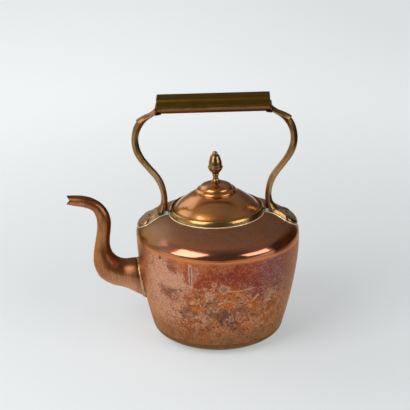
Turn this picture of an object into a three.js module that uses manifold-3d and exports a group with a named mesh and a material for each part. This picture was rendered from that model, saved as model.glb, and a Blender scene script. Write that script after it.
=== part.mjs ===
// A copper stovetop kettle with a gooseneck spout, a lift-off lid and a fixed brass handle.
// Millimetres, +Z up. The origin is the middle of the flat base, where the kettle stands.
// The spout points along -X, and the handle's two uprights stand at -X and +X.

import * as THREE from 'three';
import { mergeVertices } from 'three/addons/utils/BufferGeometryUtils.js';
import Module from 'manifold-3d';

const wasm = await Module();
wasm.setup();

// Clearances and cutting overrun
const seatGap = 0.3;
const slidingGap = 0.6;
const boreGap = 0.2;
const overrun = 10;
const probeStep = 0.1;

// Facet counts
const roundSegments = 38;
const smallSegments = 16;
const rivetSegments = 12;
const nutSides = 6;
const wallSteps = 5;
const shoulderSteps = 8;
const cornerSteps = 4;
const spoutSteps = 20;
const spoutSides = 14;
const armSteps = 21;
const armSides = 8;
const plateEdgeSteps = 4;
const searchSteps = 40;

// Body: one raised copper sheet, with its neck turned up
const widestRadius = 94;
const widestHeight = 123;
const footRadius = 76.4;
const footHeight = 14;
const wallBulge = 1.75;
const sheet = 1.2;
const neckRadius = 47.5;
const shoulderRise = 26.4;
const neckCurl = 0.9;
const neckRise = 2.5;
const shoulderShares = [
  [1, 0], [0.984, 0.2], [0.914, 0.37], [0.81, 0.53], [0.68, 0.655], [0.527, 0.765], [0.333, 0.87],
  [0.15, 0.935], [0.054, 0.965],
];

// Base: flat, with a rounded corner, lapped inside the foot of the wall
const flatRadius = 56;
const baseSheet = 1.5;
const baseLap = 8;
const baseCornerShares = [[0.2, 0.06], [0.46, 0.2], [0.72, 0.43], [0.9, 0.68]];

// The neck, the lid and the handle all lean a little towards the spout
const leanDegrees = 1.8;
const leanPivotHeight = 100;
const leanBlend = 34;
const leanMargin = 3.4;

// Neck ring: a brass hoop round the neck, with a ledge that the lid sits on
const ringFlangeWidth = 6.9;
const ringFlangeThickness = 1.2;
const ringBandWidth = 6.1;
const ringRimOverhang = 4.6;
const ringRimWidth = 2;
const ringRimRise = 1.7;
const ringRimThickness = 1.2;
const ringLedge = 1.1;

// Lid: a narrow rim, a cone, a bead and a raised crown
const lidSheet = 1.1;
const lidRimWidth = 1.6;
const lidConeRise = 17.2;
const lidBeadRadius = 22.7;
const lidBeadRise = 4.6;
const lidCrownRadius = 18.8;
const lidCrownRise = 6.6;
const lidKnobSeatRadius = 5.8;
const lidConeShares = [[0.8, 0.29], [0.52, 0.6], [0.25, 0.85]];
const lidBeadShares = [[1.04, 0.35], [0.7, 0.8], [0.25, 1]];
const lidCrownShares = [[1, 0.06], [0.97, 0.36], [0.84, 0.68], [0.6, 0.9]];
const lidSleeveDepth = 11;
const lidSleeveSheet = 1.1;

// Finial: a turned acorn on a stem, with a stud, a washer and a nut under the lid
const finialHeight = 36.3;
const finialCupRadius = 8.5;
const finialShares = [
  [0.66, 0], [0.66, 0.03], [0.5, 0.055], [0.375, 0.118], [0.38, 0.2], [0.46, 0.245], [0.42, 0.275],
  [0.56, 0.315], [0.86, 0.4], [0.98, 0.465], [1, 0.51], [0.885, 0.535], [0.89, 0.6], [0.845, 0.675],
  [0.76, 0.745], [0.68, 0.806], [0.58, 0.86], [0.38, 0.905], [0.34, 0.948], [0.25, 0.985],
];
const studRadius = 2;
const studEnd = 1;
const washerRadius = 5;
const washerThickness = 1;
const nutRadius = 4.4;
const nutThickness = 3;

// Grip: a hollow rounded tube
const gripHalfLength = 62.8;
const gripRise = 126.6;
const gripTall = 18.6;
const gripDeep = 24;
const gripCorner = 5;
const gripSheet = 1.3;

// Upright arms: each row gives the inner point (out, up), the outer point (out, up) and the depth.
// Out runs from the neck ring: in the foot rows to the rivets, and in the lower rows to the reach.
// In the upper rows it runs from the grip's end to the reach.
// Up runs from the neck's foot to the middle of the grip.
const armReach = 93.2;
const armStandoff = 1.3;
const armHalfDepth = 4.6;
const armSquareness = 1.6;
const armFootShares = [
  [0.082, -0.066, 0.932, -0.05, 1.6],
  [0.032, 0.001, 0.63, 0.009, 1.35],
  [0.005, 0.04, 0.475, 0.051, 1.2],
  [0.005, 0.069, 0.38, 0.077, 1.15],
];
const armLowerShares = [
  [0.001, 0.132, 0.193, 0.133, 1],
  [0.026, 0.197, 0.213, 0.189, 1],
  [0.073, 0.261, 0.266, 0.242, 1.05],
  [0.159, 0.322, 0.345, 0.292, 1.1],
  [0.279, 0.375, 0.448, 0.339, 1.1],
  [0.409, 0.423, 0.569, 0.385, 1.1],
  [0.529, 0.469, 0.694, 0.433, 1.1],
  [0.637, 0.516, 0.821, 0.484, 1.1],
  [0.718, 0.566, 0.925, 0.542, 1.08],
  [0.77, 0.618, 0.985, 0.607, 1.05],
  [0.789, 0.672, 1, 0.673, 1.05],
];
const armUpperShares = [
  [0.708, 0.725, 0.966, 0.739, 1.03],
  [0.628, 0.775, 0.883, 0.803, 1],
  [0.507, 0.821, 0.73, 0.86, 1],
  [0.349, 0.858, 0.497, 0.898, 1.05],
  [0.131, 0.892, 0.28, 0.923, 1.25],
  [0.04, 0.907, 0.12, 0.952, 1.6],
  [0.027, 0.918, 0.057, 0.972, 1.85],
];
const spurLength = 1;
const spurHalfWidth = 2.6;
const spurPlaceShare = 0.803;
const spurRootShare = 0.35;
const spurTaperShares = [1, 0.55, 0.08];

// Upright feet: a spade-shaped plate with a raised lobe
const footThickness = 3.2;
const footTipMargin = 3;
const footWidestReach = 3;
const footHalfWidth = 17;
const footInnerHalfWidth = 5.4;
const footSideShares = [[0, 1], [0.38, 1.35], [0.7, 2.35], [0.88, 3]];
const lobeHeight = 5.2;

// Upright tops: a plate against the grip's end, a tenon inside it and a lip under it
const tenonLength = 12;
const endPlateThickness = 1.9;
const endPlateRise = 7.5;
const lipLength = 4.6;
const lipThickness = 1.3;
const lipRise = 2;

// Rivets: three through each foot
const rivetRadius = 1.7;
const rivetHeadRadius = 3.2;
const rivetHeadHeight = 1.8;
const rivetTailRadius = 3;
const rivetTailHeight = 1.2;
const rivetTailGap = 0.5;
const rivetReachShare = 0.645;
const rivetSpread = 11.5;
const rivetSkew = 2;
const rivetHeadShares = [[1, 0], [0.82, 0.6], [0.4, 0.94], [0, 1]];
const rivetTailShares = [[0, 1], [0.7, 0.8], [1, 0]];

// Spout: each row gives the inner point (out, up), the outer point (out, up) and the width.
// Out runs from the kettle's middle to the beak, and up from the floor to the spout's top.
const spoutReach = 174.4;
const spoutTop = 166;
const spoutShares = [
  [0.361, 0.509, 0.442, 0.232, 0.86],
  [0.427, 0.522, 0.502, 0.259, 0.87],
  [0.486, 0.531, 0.556, 0.287, 0.88],
  [0.552, 0.535, 0.591, 0.307, 0.9],
  [0.611, 0.528, 0.639, 0.325, 0.92],
  [0.642, 0.531, 0.712, 0.345, 0.94],
  [0.657, 0.536, 0.788, 0.398, 0.96],
  [0.677, 0.549, 0.826, 0.484, 0.98],
  [0.703, 0.583, 0.828, 0.565, 1],
  [0.716, 0.633, 0.818, 0.636, 1],
  [0.716, 0.689, 0.807, 0.699, 1],
  [0.709, 0.749, 0.799, 0.757, 1],
  [0.706, 0.817, 0.798, 0.808, 1],
  [0.725, 0.887, 0.805, 0.851, 1],
  [0.768, 0.945, 0.822, 0.887, 1],
  [0.825, 0.981, 0.854, 0.908, 1],
  [0.883, 0.997, 0.896, 0.919, 1],
  [0.938, 1, 0.944, 0.927, 1],
  [0.99, 0.999, 1, 0.938, 0.97],
];
const spoutSheet = 1.1;
const beakNotchDepth = 6.6;
const beakNotchDrop = 5.6;
const beakUpperSetback = 3.2;
const beakUpperRise = 5;
const beakLowerDrop = 4.2;
const collarWidth = 1.3;
const collarThickness = 2.6;

// Finishes
const copper = new THREE.MeshStandardMaterial({ color: 0x8a4a26, roughness: 0.34, metalness: 0.9 });
const darkCopper = new THREE.MeshStandardMaterial({ color: 0x6f3c22, roughness: 0.3, metalness: 0.9 });
const lidCopper = new THREE.MeshStandardMaterial({ color: 0x8c5526, roughness: 0.25, metalness: 0.9 });
const brass = new THREE.MeshStandardMaterial({ color: 0x8d6a30, roughness: 0.28, metalness: 0.9 });
const gripBrass = new THREE.MeshStandardMaterial({ color: 0x5f4622, roughness: 0.35, metalness: 0.85 });
const tin = new THREE.MeshStandardMaterial({ color: 0x9a8f7c, roughness: 0.5, metalness: 0.8 });

// Heights and radii that follow from the sizes above
const neckHeight = widestHeight + shoulderRise;
const neckTop = neckHeight + neckRise;
const leanFullHeight = neckHeight - leanMargin;
const leanStartHeight = leanFullHeight - leanBlend;
const ringFlangeRadius = neckRadius + ringFlangeWidth;
const ringBandRadius = neckRadius + ringBandWidth;
const ringRimRadius = neckRadius + ringRimOverhang;
const ringBore = neckRadius - sheet - seatGap;
const ringLedgeTop = neckTop + seatGap + ringLedge;
const ringTop = ringLedgeTop + ringRimRise;
const lidRadius = ringRimRadius - ringRimWidth - slidingGap;
const lidUnderside = ringLedgeTop + seatGap;
const lidRimTop = lidUnderside + lidSheet;
const lidBeadHeight = lidRimTop + lidConeRise;
const lidCrownHeight = lidBeadHeight + lidBeadRise;
const lidTopHeight = lidCrownHeight + lidCrownRise;
const finialFoot = lidTopHeight + seatGap;
const washerTop = lidTopHeight - lidSheet - seatGap;
const nutTop = washerTop - washerThickness - seatGap;
const studBottom = nutTop - nutThickness - studEnd;
const gripHeight = neckHeight + gripRise;
const gripBottom = gripHeight - gripTall / 2;
const gripEndReach = gripHalfLength + seatGap;
const armNeckRadius = ringFlangeRadius + armStandoff;
const rivetReach = neckRadius + rivetReachShare * (widestRadius - neckRadius);
const footTip = widestRadius - footTipMargin;
const footWidest = rivetReach + footWidestReach;

// Turns a geometry into a closed solid that can be cut and joined
function solidOf(geometry) {
  const bare = geometry.index ? geometry.toNonIndexed() : geometry.clone();
  bare.deleteAttribute('normal');
  bare.deleteAttribute('uv');
  const merged = mergeVertices(bare);
  const index = merged.index.array;
  const kept = [];
  for (let i = 0; i < index.length; i += 3) {
    const [a, b, c] = [index[i], index[i + 1], index[i + 2]];
    if (a !== b && b !== c && c !== a) kept.push(a, b, c);
  }
  const vertProperties = new Float32Array(merged.attributes.position.array);
  const facesOut = signedVolume(vertProperties, kept) > 0;
  const triVerts = new Uint32Array(facesOut ? kept : kept.reverse());
  return new wasm.Manifold(new wasm.Mesh({ numProp: 3, vertProperties, triVerts }));
}

function signedVolume(positions, triangles) {
  const corner = (k) => new THREE.Vector3().fromArray(positions, 3 * triangles[k]);
  let six = 0;
  for (let i = 0; i < triangles.length; i += 3) {
    six += corner(i).dot(corner(i + 1).cross(corner(i + 2)));
  }
  return six / 6;
}

function geometryOf(solid) {
  const mesh = solid.getMesh();
  const geometry = new THREE.BufferGeometry();
  geometry.setAttribute('position', new THREE.BufferAttribute(new Float32Array(mesh.vertProperties), 3));
  geometry.setIndex(new THREE.BufferAttribute(new Uint32Array(mesh.triVerts), 1));
  geometry.computeVertexNormals();
  return geometry;
}

function meshOf(name, solid, material) {
  const mesh = new THREE.Mesh(geometryOf(solid), material);
  mesh.name = name;
  return mesh;
}

// Revolves an outline of [radius, height] points about the upright axis
function revolve(outline, segments = roundSegments) {
  const points = outline.map(([radius, height]) => new THREE.Vector2(radius, height));
  const geometry = new THREE.LatheGeometry(points, segments);
  geometry.rotateX(Math.PI / 2);
  return solidOf(geometry);
}

function closeLoop(outline) {
  return [...outline, outline[0]];
}

// Moves an outline sideways by a distance, to the right of its direction of travel
function offsetOutline(outline, distance) {
  return outline.map((point, i) => {
    const before = outline[Math.max(i - 1, 0)];
    const after = outline[Math.min(i + 1, outline.length - 1)];
    const along = new THREE.Vector2(after[0] - before[0], after[1] - before[1]).normalize();
    return [point[0] + along.y * distance, point[1] - along.x * distance];
  });
}

// Joins a run of equal loops of points into one closed solid with flat ends
function loft(loops) {
  const sides = loops[0].length;
  const points = loops.flat();
  const faces = [];
  for (let k = 0; k + 1 < loops.length; k += 1) {
    for (let i = 0; i < sides; i += 1) {
      const next = (i + 1) % sides;
      const [a, b] = [k * sides + i, k * sides + next];
      faces.push(a, b, b + sides, a, b + sides, a + sides);
    }
  }
  const last = (loops.length - 1) * sides;
  for (let i = 1; i + 1 < sides; i += 1) {
    faces.push(0, i + 1, i, last, last + i, last + i + 1);
  }
  const geometry = new THREE.BufferGeometry().setFromPoints(points);
  geometry.setIndex(faces);
  return solidOf(geometry);
}

// A loop round a section that spans two points of the XZ plane, with a half-width along Y
function sectionLoop(inner, outer, halfWidth, growth, squareness, sides) {
  const centre = inner.clone().add(outer).multiplyScalar(0.5);
  const across = outer.clone().sub(inner);
  const halfSpan = across.length() / 2 + growth;
  across.normalize();
  const power = 2 / squareness;
  const loop = [];
  for (let i = 0; i < sides; i += 1) {
    const turn = (2 * Math.PI * i) / sides;
    const c = Math.sign(Math.cos(turn)) * Math.abs(Math.cos(turn)) ** power;
    const s = Math.sign(Math.sin(turn)) * Math.abs(Math.sin(turn)) ** power;
    const reach = centre.clone().addScaledVector(across, halfSpan * c);
    loop.push(new THREE.Vector3(reach.x, (halfWidth + growth) * s, reach.y));
  }
  return loop;
}

function smoothLine(points) {
  return new THREE.SplineCurve(points.map(([x, y]) => new THREE.Vector2(x, y)));
}

// Reads a smooth value from a table, by a share of its length

function shareAt(shares, t) {
  const place = t * (shares.length - 1);
  const low = Math.min(Math.floor(place), shares.length - 2);
  return THREE.MathUtils.lerp(shares[low], shares[low + 1], place - low);
}

// The lean of everything above the shoulder
const leanPivot = new THREE.Vector3(0, 0, leanPivotHeight);
const leanAxis = new THREE.Vector3(0, 1, 0);
const leanTurn = -THREE.MathUtils.degToRad(leanDegrees);

function leanPoint(point) {
  const share = THREE.MathUtils.smoothstep(point.z, leanStartHeight, leanFullHeight);
  const full = point.clone().sub(leanPivot).applyAxisAngle(leanAxis, leanTurn).add(leanPivot);
  return point.clone().lerp(full, share);
}

function leanSolid(solid) {
  return solid.warp((vertex) => {
    leanPoint(new THREE.Vector3().fromArray(vertex)).toArray(vertex);
  });
}

// The body's outer outline, from the foot of the wall to the neck
function wallRadius(height) {
  const drop = (widestHeight - height) / (widestHeight - footHeight);
  return widestRadius - (widestRadius - footRadius) * Math.max(drop, 0) ** wallBulge;
}

const shoulderLine = smoothLine(shoulderShares.map(([out, up]) => [
  neckRadius + (widestRadius - neckRadius) * out,
  widestHeight + (neckHeight - widestHeight) * up,
]));

function bodyOutline() {
  const outline = [];
  for (let i = 0; i < wallSteps; i += 1) {
    const height = THREE.MathUtils.lerp(footHeight, widestHeight, i / wallSteps);
    outline.push([wallRadius(height), height]);
  }
  for (const point of shoulderLine.getPoints(shoulderSteps)) outline.push([point.x, point.y]);
  outline.push([neckRadius, neckHeight + neckCurl], [neckRadius, neckTop]);
  return outline;
}

// A solid that fills the body out to a distance beyond its outer face
function bodyFill(beyond) {
  const outline = offsetOutline(bodyOutline(), beyond);
  const top = outline.at(-1);
  return revolve([[0, footHeight], ...outline, [0, top[1]]]);
}

function shoulderHeight(radius) {
  let low = 0;
  let high = 1;
  for (let i = 0; i < searchSteps; i += 1) {
    const middle = (low + high) / 2;
    if (shoulderLine.getPoint(middle).x > radius) low = middle;
    else high = middle;
  }
  return shoulderLine.getPoint(low).y;
}

function bodyShell() {
  const outer = bodyOutline();
  const inner = offsetOutline(outer, -sheet).reverse();
  inner[inner.length - 1][1] = footHeight;
  inner[0][1] = neckTop;
  return revolve(closeLoop([...outer, ...inner]));
}

// The base, with its rim lapped inside the foot of the wall
function basePan() {
  const cornerTop = footHeight - seatGap;
  const cornerRadius = wallRadius(footHeight);
  const corner = baseCornerShares.map(([out, up]) => [
    THREE.MathUtils.lerp(flatRadius, cornerRadius, out), cornerTop * up,
  ]);
  const outer = [[0, 0], [flatRadius, 0], ...corner, [cornerRadius, cornerTop]];
  const inner = offsetOutline(outer, -baseSheet).reverse();
  const lapRadius = cornerRadius - sheet - seatGap;
  const lapTop = footHeight + baseLap;
  const lapTopRadius = wallRadius(lapTop) - sheet - seatGap;
  inner[0] = [lapRadius - baseSheet, cornerTop];
  inner[inner.length - 1] = [0, baseSheet];
  return revolve([
    ...outer, [lapRadius, cornerTop], [lapTopRadius, lapTop], [lapTopRadius - baseSheet, lapTop], ...inner,
  ]);
}

// The neck ring, from its flange on the shoulder to the rim round the lid
function neckRing() {
  const neckSide = neckRadius + seatGap;
  const flangeFoot = shoulderHeight(ringFlangeRadius) + seatGap;
  const flangeTop = flangeFoot + ringFlangeThickness;
  const rimFoot = ringTop - ringRimThickness;
  const rimInner = ringRimRadius - ringRimWidth;
  return revolve(closeLoop([
    [ringFlangeRadius, flangeFoot],
    [ringFlangeRadius, flangeTop],
    [ringBandRadius, (flangeTop + rimFoot) / 2],
    [ringRimRadius, rimFoot],
    [ringRimRadius, ringTop - seatGap],
    [ringRimRadius - seatGap, ringTop],
    [rimInner, ringTop],
    [rimInner, ringLedgeTop],
    [ringBore, ringLedgeTop],
    [ringBore, neckTop + seatGap],
    [neckSide, neckTop + seatGap],
    [neckSide, neckHeight + neckCurl + seatGap],
  ]));
}

// The lid: its rim, cone, bead and crown, all from one sheet
function lidOutline() {
  const coneFoot = lidRadius - lidRimWidth;
  const outline = [[lidRadius, lidRimTop], [coneFoot, lidRimTop]];
  for (const [out, up] of lidConeShares) {
    outline.push([THREE.MathUtils.lerp(lidBeadRadius, coneFoot, out), lidRimTop + lidConeRise * up]);
  }
  outline.push([lidBeadRadius, lidBeadHeight]);
  for (const [out, up] of lidBeadShares) {
    outline.push([THREE.MathUtils.lerp(lidCrownRadius, lidBeadRadius, out), lidBeadHeight + lidBeadRise * up]);
  }
  for (const [out, up] of lidCrownShares) {
    outline.push([lidCrownRadius * out, lidCrownHeight + lidCrownRise * up]);
  }
  outline.push([lidKnobSeatRadius, lidTopHeight]);
  return outline;
}

function lidDome() {
  const outer = lidOutline();
  const inner = offsetOutline(outer, -lidSheet).reverse();
  inner[inner.length - 1] = [lidRadius, lidUnderside];
  inner[inner.length - 2][1] = lidUnderside;
  const bore = studRadius + boreGap;
  const underCrown = lidTopHeight - lidSheet;
  inner[0][1] = underCrown;
  return revolve(closeLoop([...outer, [bore, lidTopHeight], [bore, underCrown], ...inner]));
}

// The sleeve under the lid that keeps it centred in the neck
function lidCollar() {
  const outerRadius = ringBore - slidingGap;
  const top = lidUnderside - seatGap;
  const bottom = top - lidSleeveDepth;
  return revolve(closeLoop([
    [outerRadius, top],
    [outerRadius - lidSleeveSheet, top],
    [outerRadius - lidSleeveSheet, bottom],
    [outerRadius - lidSleeveSheet / 2, bottom - lidSleeveSheet / 2],
    [outerRadius, bottom],
  ]));
}

// The finial, its washer and its nut
function finial() {
  const acorn = finialShares.map(([out, up]) => [finialCupRadius * out, finialFoot + finialHeight * up]);
  return revolve([
    [0, studBottom], [studRadius, studBottom], [studRadius, finialFoot],
    ...acorn, [0, finialFoot + finialHeight],
  ], smallSegments);
}

function drilledPlate(outerRadius, sides, top, thickness) {
  const rim = new THREE.CylinderGeometry(outerRadius, outerRadius, thickness, sides);
  const bore = new THREE.CylinderGeometry(
    studRadius + boreGap, studRadius + boreGap, 2 * thickness, smallSegments,
  );
  const plate = solidOf(rim.rotateX(Math.PI / 2)).subtract(solidOf(bore.rotateX(Math.PI / 2)));
  return plate.translate([0, 0, top - thickness / 2]);
}

// The outlines of the grip, drawn in the YZ plane and run along X
function roundedSlab(tall, deep, corner, centreHeight, fromX, toX) {
  const [w, h, r] = [deep / 2, tall / 2, corner];
  const shape = new THREE.Shape();
  shape.moveTo(-w + r, -h);
  shape.lineTo(w - r, -h);
  shape.absarc(w - r, -h + r, r, -Math.PI / 2, 0);
  shape.lineTo(w, h - r);
  shape.absarc(w - r, h - r, r, 0, Math.PI / 2);
  shape.lineTo(-w + r, h);
  shape.absarc(-w + r, h - r, r, Math.PI / 2, Math.PI);
  shape.lineTo(-w, -h + r);
  shape.absarc(-w + r, -h + r, r, Math.PI, 1.5 * Math.PI);
  const geometry = new THREE.ExtrudeGeometry(shape, {
    depth: toX - fromX, bevelEnabled: false, curveSegments: cornerSteps,
  });
  geometry.rotateX(Math.PI / 2);
  geometry.rotateZ(Math.PI / 2);
  geometry.translate(fromX, 0, centreHeight);
  return solidOf(geometry);
}

function gripTube() {
  const outer = roundedSlab(gripTall, gripDeep, gripCorner, gripHeight, -gripHalfLength, gripHalfLength);
  const bore = roundedSlab(
    gripTall - 2 * gripSheet, gripDeep - 2 * gripSheet, gripCorner - gripSheet, gripHeight,
    -gripHalfLength - overrun, gripHalfLength + overrun,
  );
  return outer.subtract(bore);
}

// One upright at +X: the foot, the swan-neck arm with its spur, and the end that holds the grip
function armPoints(rows, fromReach, toReach, place) {
  return rows.map((row) => [
    THREE.MathUtils.lerp(fromReach, toReach, row[place]),
    THREE.MathUtils.lerp(neckHeight, gripHeight, row[place + 1]),
  ]);
}

function armLine(place) {
  return smoothLine([
    ...armPoints(armFootShares, armNeckRadius, rivetReach, place),
    ...armPoints(armLowerShares, armNeckRadius, armReach, place),
    ...armPoints(armUpperShares, gripEndReach, armReach, place),
  ]);
}

const armInnerLine = armLine(0);
const armOuterLine = armLine(2);
const armDepthShares = [...armFootShares, ...armLowerShares, ...armUpperShares].map((row) => row[4]);

function armLoops() {
  const loops = [];
  for (let i = 0; i <= armSteps; i += 1) {
    const t = i / armSteps;
    const halfDepth = armHalfDepth * shareAt(armDepthShares, t);
    loops.push(sectionLoop(
      armInnerLine.getPoint(t), armOuterLine.getPoint(t), halfDepth, 0, armSquareness, armSides,
    ));
  }
  return loops;
}

function armSpur() {
  const outer = armOuterLine.getPoint(spurPlaceShare);
  const inner = armInnerLine.getPoint(spurPlaceShare);
  const out = outer.clone().sub(inner).normalize();
  const along = new THREE.Vector2(-out.y, out.x);
  const tip = outer.clone().addScaledVector(out, spurLength);
  const loops = spurTaperShares.map((share, i, all) => {
    const lift = THREE.MathUtils.lerp(spurRootShare, 1, i / (all.length - 1));
    const middle = inner.clone().lerp(tip, lift);
    const half = spurHalfWidth * share;
    const near = middle.clone().addScaledVector(along, -half);
    const far = middle.clone().addScaledVector(along, half);
    return sectionLoop(near, far, half, 0, 2, armSides);
  });
  return loft(loops);
}

function footOutline() {
  const inner = ringFlangeRadius + seatGap;
  const side = footSideShares.map(([along, wide]) => [
    THREE.MathUtils.lerp(inner, footWidest, along), footInnerHalfWidth * wide,
  ]);
  for (let i = 0; i < plateEdgeSteps; i += 1) {
    const turn = (Math.PI / 2) * (i / plateEdgeSteps);
    side.push([footWidest + (footTip - footWidest) * Math.sin(turn), footHalfWidth * Math.cos(turn)]);
  }
  const shape = new THREE.Shape();
  shape.moveTo(side[0][0], -side[0][1]);
  for (const [x, y] of side.slice(1)) shape.lineTo(x, -y);
  shape.lineTo(footTip, 0);
  for (const [x, y] of [...side].reverse()) shape.lineTo(x, y);
  return shape;
}

function footPlate() {
  const prism = new THREE.ExtrudeGeometry(footOutline(), {
    depth: neckTop + overrun - leanStartHeight, bevelEnabled: false,
  });
  prism.translate(0, 0, leanStartHeight);
  return solidOf(prism).intersect(bodyFill(seatGap + footThickness));
}

// The raised lobe stands between the ring and the rivet heads
function footLobe() {
  const inner = ringFlangeRadius + 2 * seatGap;
  const outer = rivetReach - rivetHeadRadius - 2 * seatGap;
  const centre = (inner + outer) / 2;
  const halfWidth = rivetSpread - rivetHeadRadius - 2 * seatGap;
  const lobe = new THREE.SphereGeometry(1, smallSegments, smallSegments / 2);
  lobe.scale((outer - inner) / 2, halfWidth, lobeHeight);
  const slope = (shoulderHeight(inner) - shoulderHeight(outer)) / (outer - inner);
  lobe.rotateY(Math.atan(slope));
  lobe.translate(centre, 0, shoulderHeight(centre));
  return solidOf(lobe);
}

function gripSlab(growth, fromX, toX) {
  return roundedSlab(
    gripTall + 2 * growth, gripDeep + 2 * growth, gripCorner + growth, gripHeight, fromX, toX,
  );
}

// A block that takes away everything above a height and beyond a reach
function above(height, fromX) {
  const block = new THREE.BoxGeometry(2 * overrun, 2 * gripDeep, gripTall + overrun);
  block.translate(fromX + overrun, 0, height + (gripTall + overrun) / 2);
  return solidOf(block);
}

function gripEnd() {
  const plateTo = gripEndReach + endPlateThickness;
  const plate = gripSlab(0, gripEndReach, plateTo);
  const tenon = gripSlab(-gripSheet - seatGap, gripHalfLength - tenonLength, plateTo);
  const lipFrom = gripHalfLength - lipLength;
  const lip = gripSlab(seatGap + lipThickness, lipFrom, plateTo)
    .subtract(gripSlab(seatGap, lipFrom - overrun, gripEndReach))
    .subtract(above(gripBottom + lipRise, lipFrom));
  return plate.add(tenon).subtract(above(gripBottom + endPlateRise, gripEndReach)).add(lip);
}

function upright() {
  return loft(armLoops()).add(armSpur()).add(footPlate()).add(footLobe()).add(gripEnd())
    .subtract(bodyFill(seatGap));
}

// Where each rivet stands on the leaning shoulder, and which way it points
function rivetFrame(side, across, reach) {
  const radius = Math.hypot(reach, across);
  const around = Math.atan2(across, side * reach);
  const onShoulder = (r, turn) => leanPoint(
    new THREE.Vector3(r * Math.cos(turn), r * Math.sin(turn), shoulderHeight(r)),
  );
  const place = onShoulder(radius, around);
  const outwards = onShoulder(radius + probeStep, around).sub(place);
  const sideways = onShoulder(radius, around + probeStep / radius).sub(place);
  const normal = outwards.cross(sideways).normalize();
  const turn = new THREE.Quaternion().setFromUnitVectors(new THREE.Vector3(0, 0, 1), normal);
  return new THREE.Matrix4().compose(place, turn, new THREE.Vector3(1, 1, 1));
}

function rivet() {
  const headFoot = seatGap + footThickness + seatGap;
  const tailTop = -sheet - rivetTailGap;
  const head = rivetHeadShares.map(([out, up]) => [rivetHeadRadius * out, headFoot + rivetHeadHeight * up]);
  const tail = rivetTailShares.map(([out, down]) => [rivetTailRadius * out, tailTop - rivetTailHeight * down]);
  return revolve([...tail, [rivetRadius, tailTop], [rivetRadius, headFoot], ...head], rivetSegments);
}

function rivetHole(frame) {
  const hole = new THREE.CylinderGeometry(
    rivetRadius + boreGap, rivetRadius + boreGap, 2 * overrun, rivetSegments,
  );
  hole.rotateX(Math.PI / 2);
  hole.applyMatrix4(frame);
  return solidOf(hole);
}

// The spout as a loft between its two outlines, grown or shrunk by an amount
function spoutLine(place) {
  return smoothLine(spoutShares.map((row) => [spoutReach * row[place], spoutTop * row[place + 1]]));
}

const spoutInnerLine = spoutLine(0);
const spoutOuterLine = spoutLine(2);
const spoutWidthShares = spoutShares.map((row) => row[4]);

function spoutLoft(growth) {
  const loops = [];
  for (let i = 0; i <= spoutSteps; i += 1) {
    const t = i / spoutSteps;
    const inner = spoutInnerLine.getPoint(t);
    const outer = spoutOuterLine.getPoint(t);
    const halfWidth = (inner.distanceTo(outer) / 2) * shareAt(spoutWidthShares, t);
    loops.push(sectionLoop(inner, outer, halfWidth, growth, 2, spoutSides));
  }
  if (growth < 0) loops.push(beyondEnd(loops.at(-2), loops.at(-1)));
  for (const point of loops.flat()) point.x *= -1;
  return loft(loops);
}

function beyondEnd(previous, end) {
  return end.map((point, i) => {
    const step = point.clone().sub(previous[i]).normalize();
    return point.clone().addScaledVector(step, overrun);
  });
}

// The open beak: a notch cut through both sides of the mouth
function beakNotch() {
  const tip = -spoutReach;
  const apexHeight = spoutTop - beakNotchDrop;
  const apex = [tip + beakNotchDepth, apexHeight];
  const upper = [tip + beakUpperSetback - overrun, apexHeight + beakUpperRise + overrun];
  const lower = [tip - overrun, apexHeight - beakLowerDrop - overrun];
  const shape = new THREE.Shape([apex, upper, lower].map(([x, z]) => new THREE.Vector2(x, z)));
  const geometry = new THREE.ExtrudeGeometry(shape, { depth: 2 * overrun, bevelEnabled: false });
  geometry.rotateX(Math.PI / 2);
  geometry.translate(0, overrun, 0);
  return solidOf(geometry);
}

function spout() {
  return spoutLoft(0).subtract(spoutLoft(-spoutSheet)).subtract(bodyFill(seatGap)).subtract(beakNotch());
}

function spoutCollar() {
  return bodyFill(seatGap + collarThickness).intersect(spoutLoft(collarWidth))
    .subtract(bodyFill(seatGap)).subtract(spoutLoft(seatGap));
}

// The assembly
const kettle = new THREE.Group();
const leaning = new THREE.Group();
leaning.position.copy(leanPivot);
leaning.rotation.y = leanTurn;
const leaningFrame = new THREE.Group();
leaningFrame.position.copy(leanPivot).negate();
leaning.add(leaningFrame);
kettle.add(leaning);

const sides = [['left', -1], ['right', 1]];
const places = [['front', -rivetSpread, rivetSkew], ['middle', 0, 0], ['back', rivetSpread, -rivetSkew]];
const rightUpright = upright();
const uprights = { right: rightUpright, left: rightUpright.mirror([1, 0, 0]) };
let shell = leanSolid(bodyShell().subtract(spoutLoft(-spoutSheet)));

for (const [sideName, side] of sides) {
  let piece = leanSolid(uprights[sideName]);
  for (const [placeName, across, further] of places) {
    const frame = rivetFrame(side, across, rivetReach + further);
    shell = shell.subtract(rivetHole(frame));
    piece = piece.subtract(rivetHole(frame));
    const pin = meshOf(`rivet_${sideName}_${placeName}`, rivet(), brass);
    pin.applyMatrix4(frame);
    kettle.add(pin);
  }
  kettle.add(meshOf(`${sideName}_upright`, piece, brass));
}

kettle.add(
  meshOf('body_shell', shell, copper),
  meshOf('base_pan', basePan(), darkCopper),
  meshOf('spout', spout(), copper),
  meshOf('spout_collar', spoutCollar(), brass),
);
leaningFrame.add(
  meshOf('neck_ring', neckRing(), brass),
  meshOf('grip_tube', gripTube(), gripBrass),
  meshOf('lid_dome', lidDome(), lidCopper),
  meshOf('lid_collar', lidCollar(), tin),
  meshOf('finial', finial(), brass),
  meshOf('finial_washer', drilledPlate(washerRadius, smallSegments, washerTop, washerThickness), brass),
  meshOf('finial_nut', drilledPlate(nutRadius, nutSides, nutTop, nutThickness), brass),
);

export default kettle;
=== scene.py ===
from functools import cache
from math import atan2, cos, hypot, pi, radians, sin, tan

import bmesh
import bpy
import numpy as np
from mathutils import Euler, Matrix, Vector, noise


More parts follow.
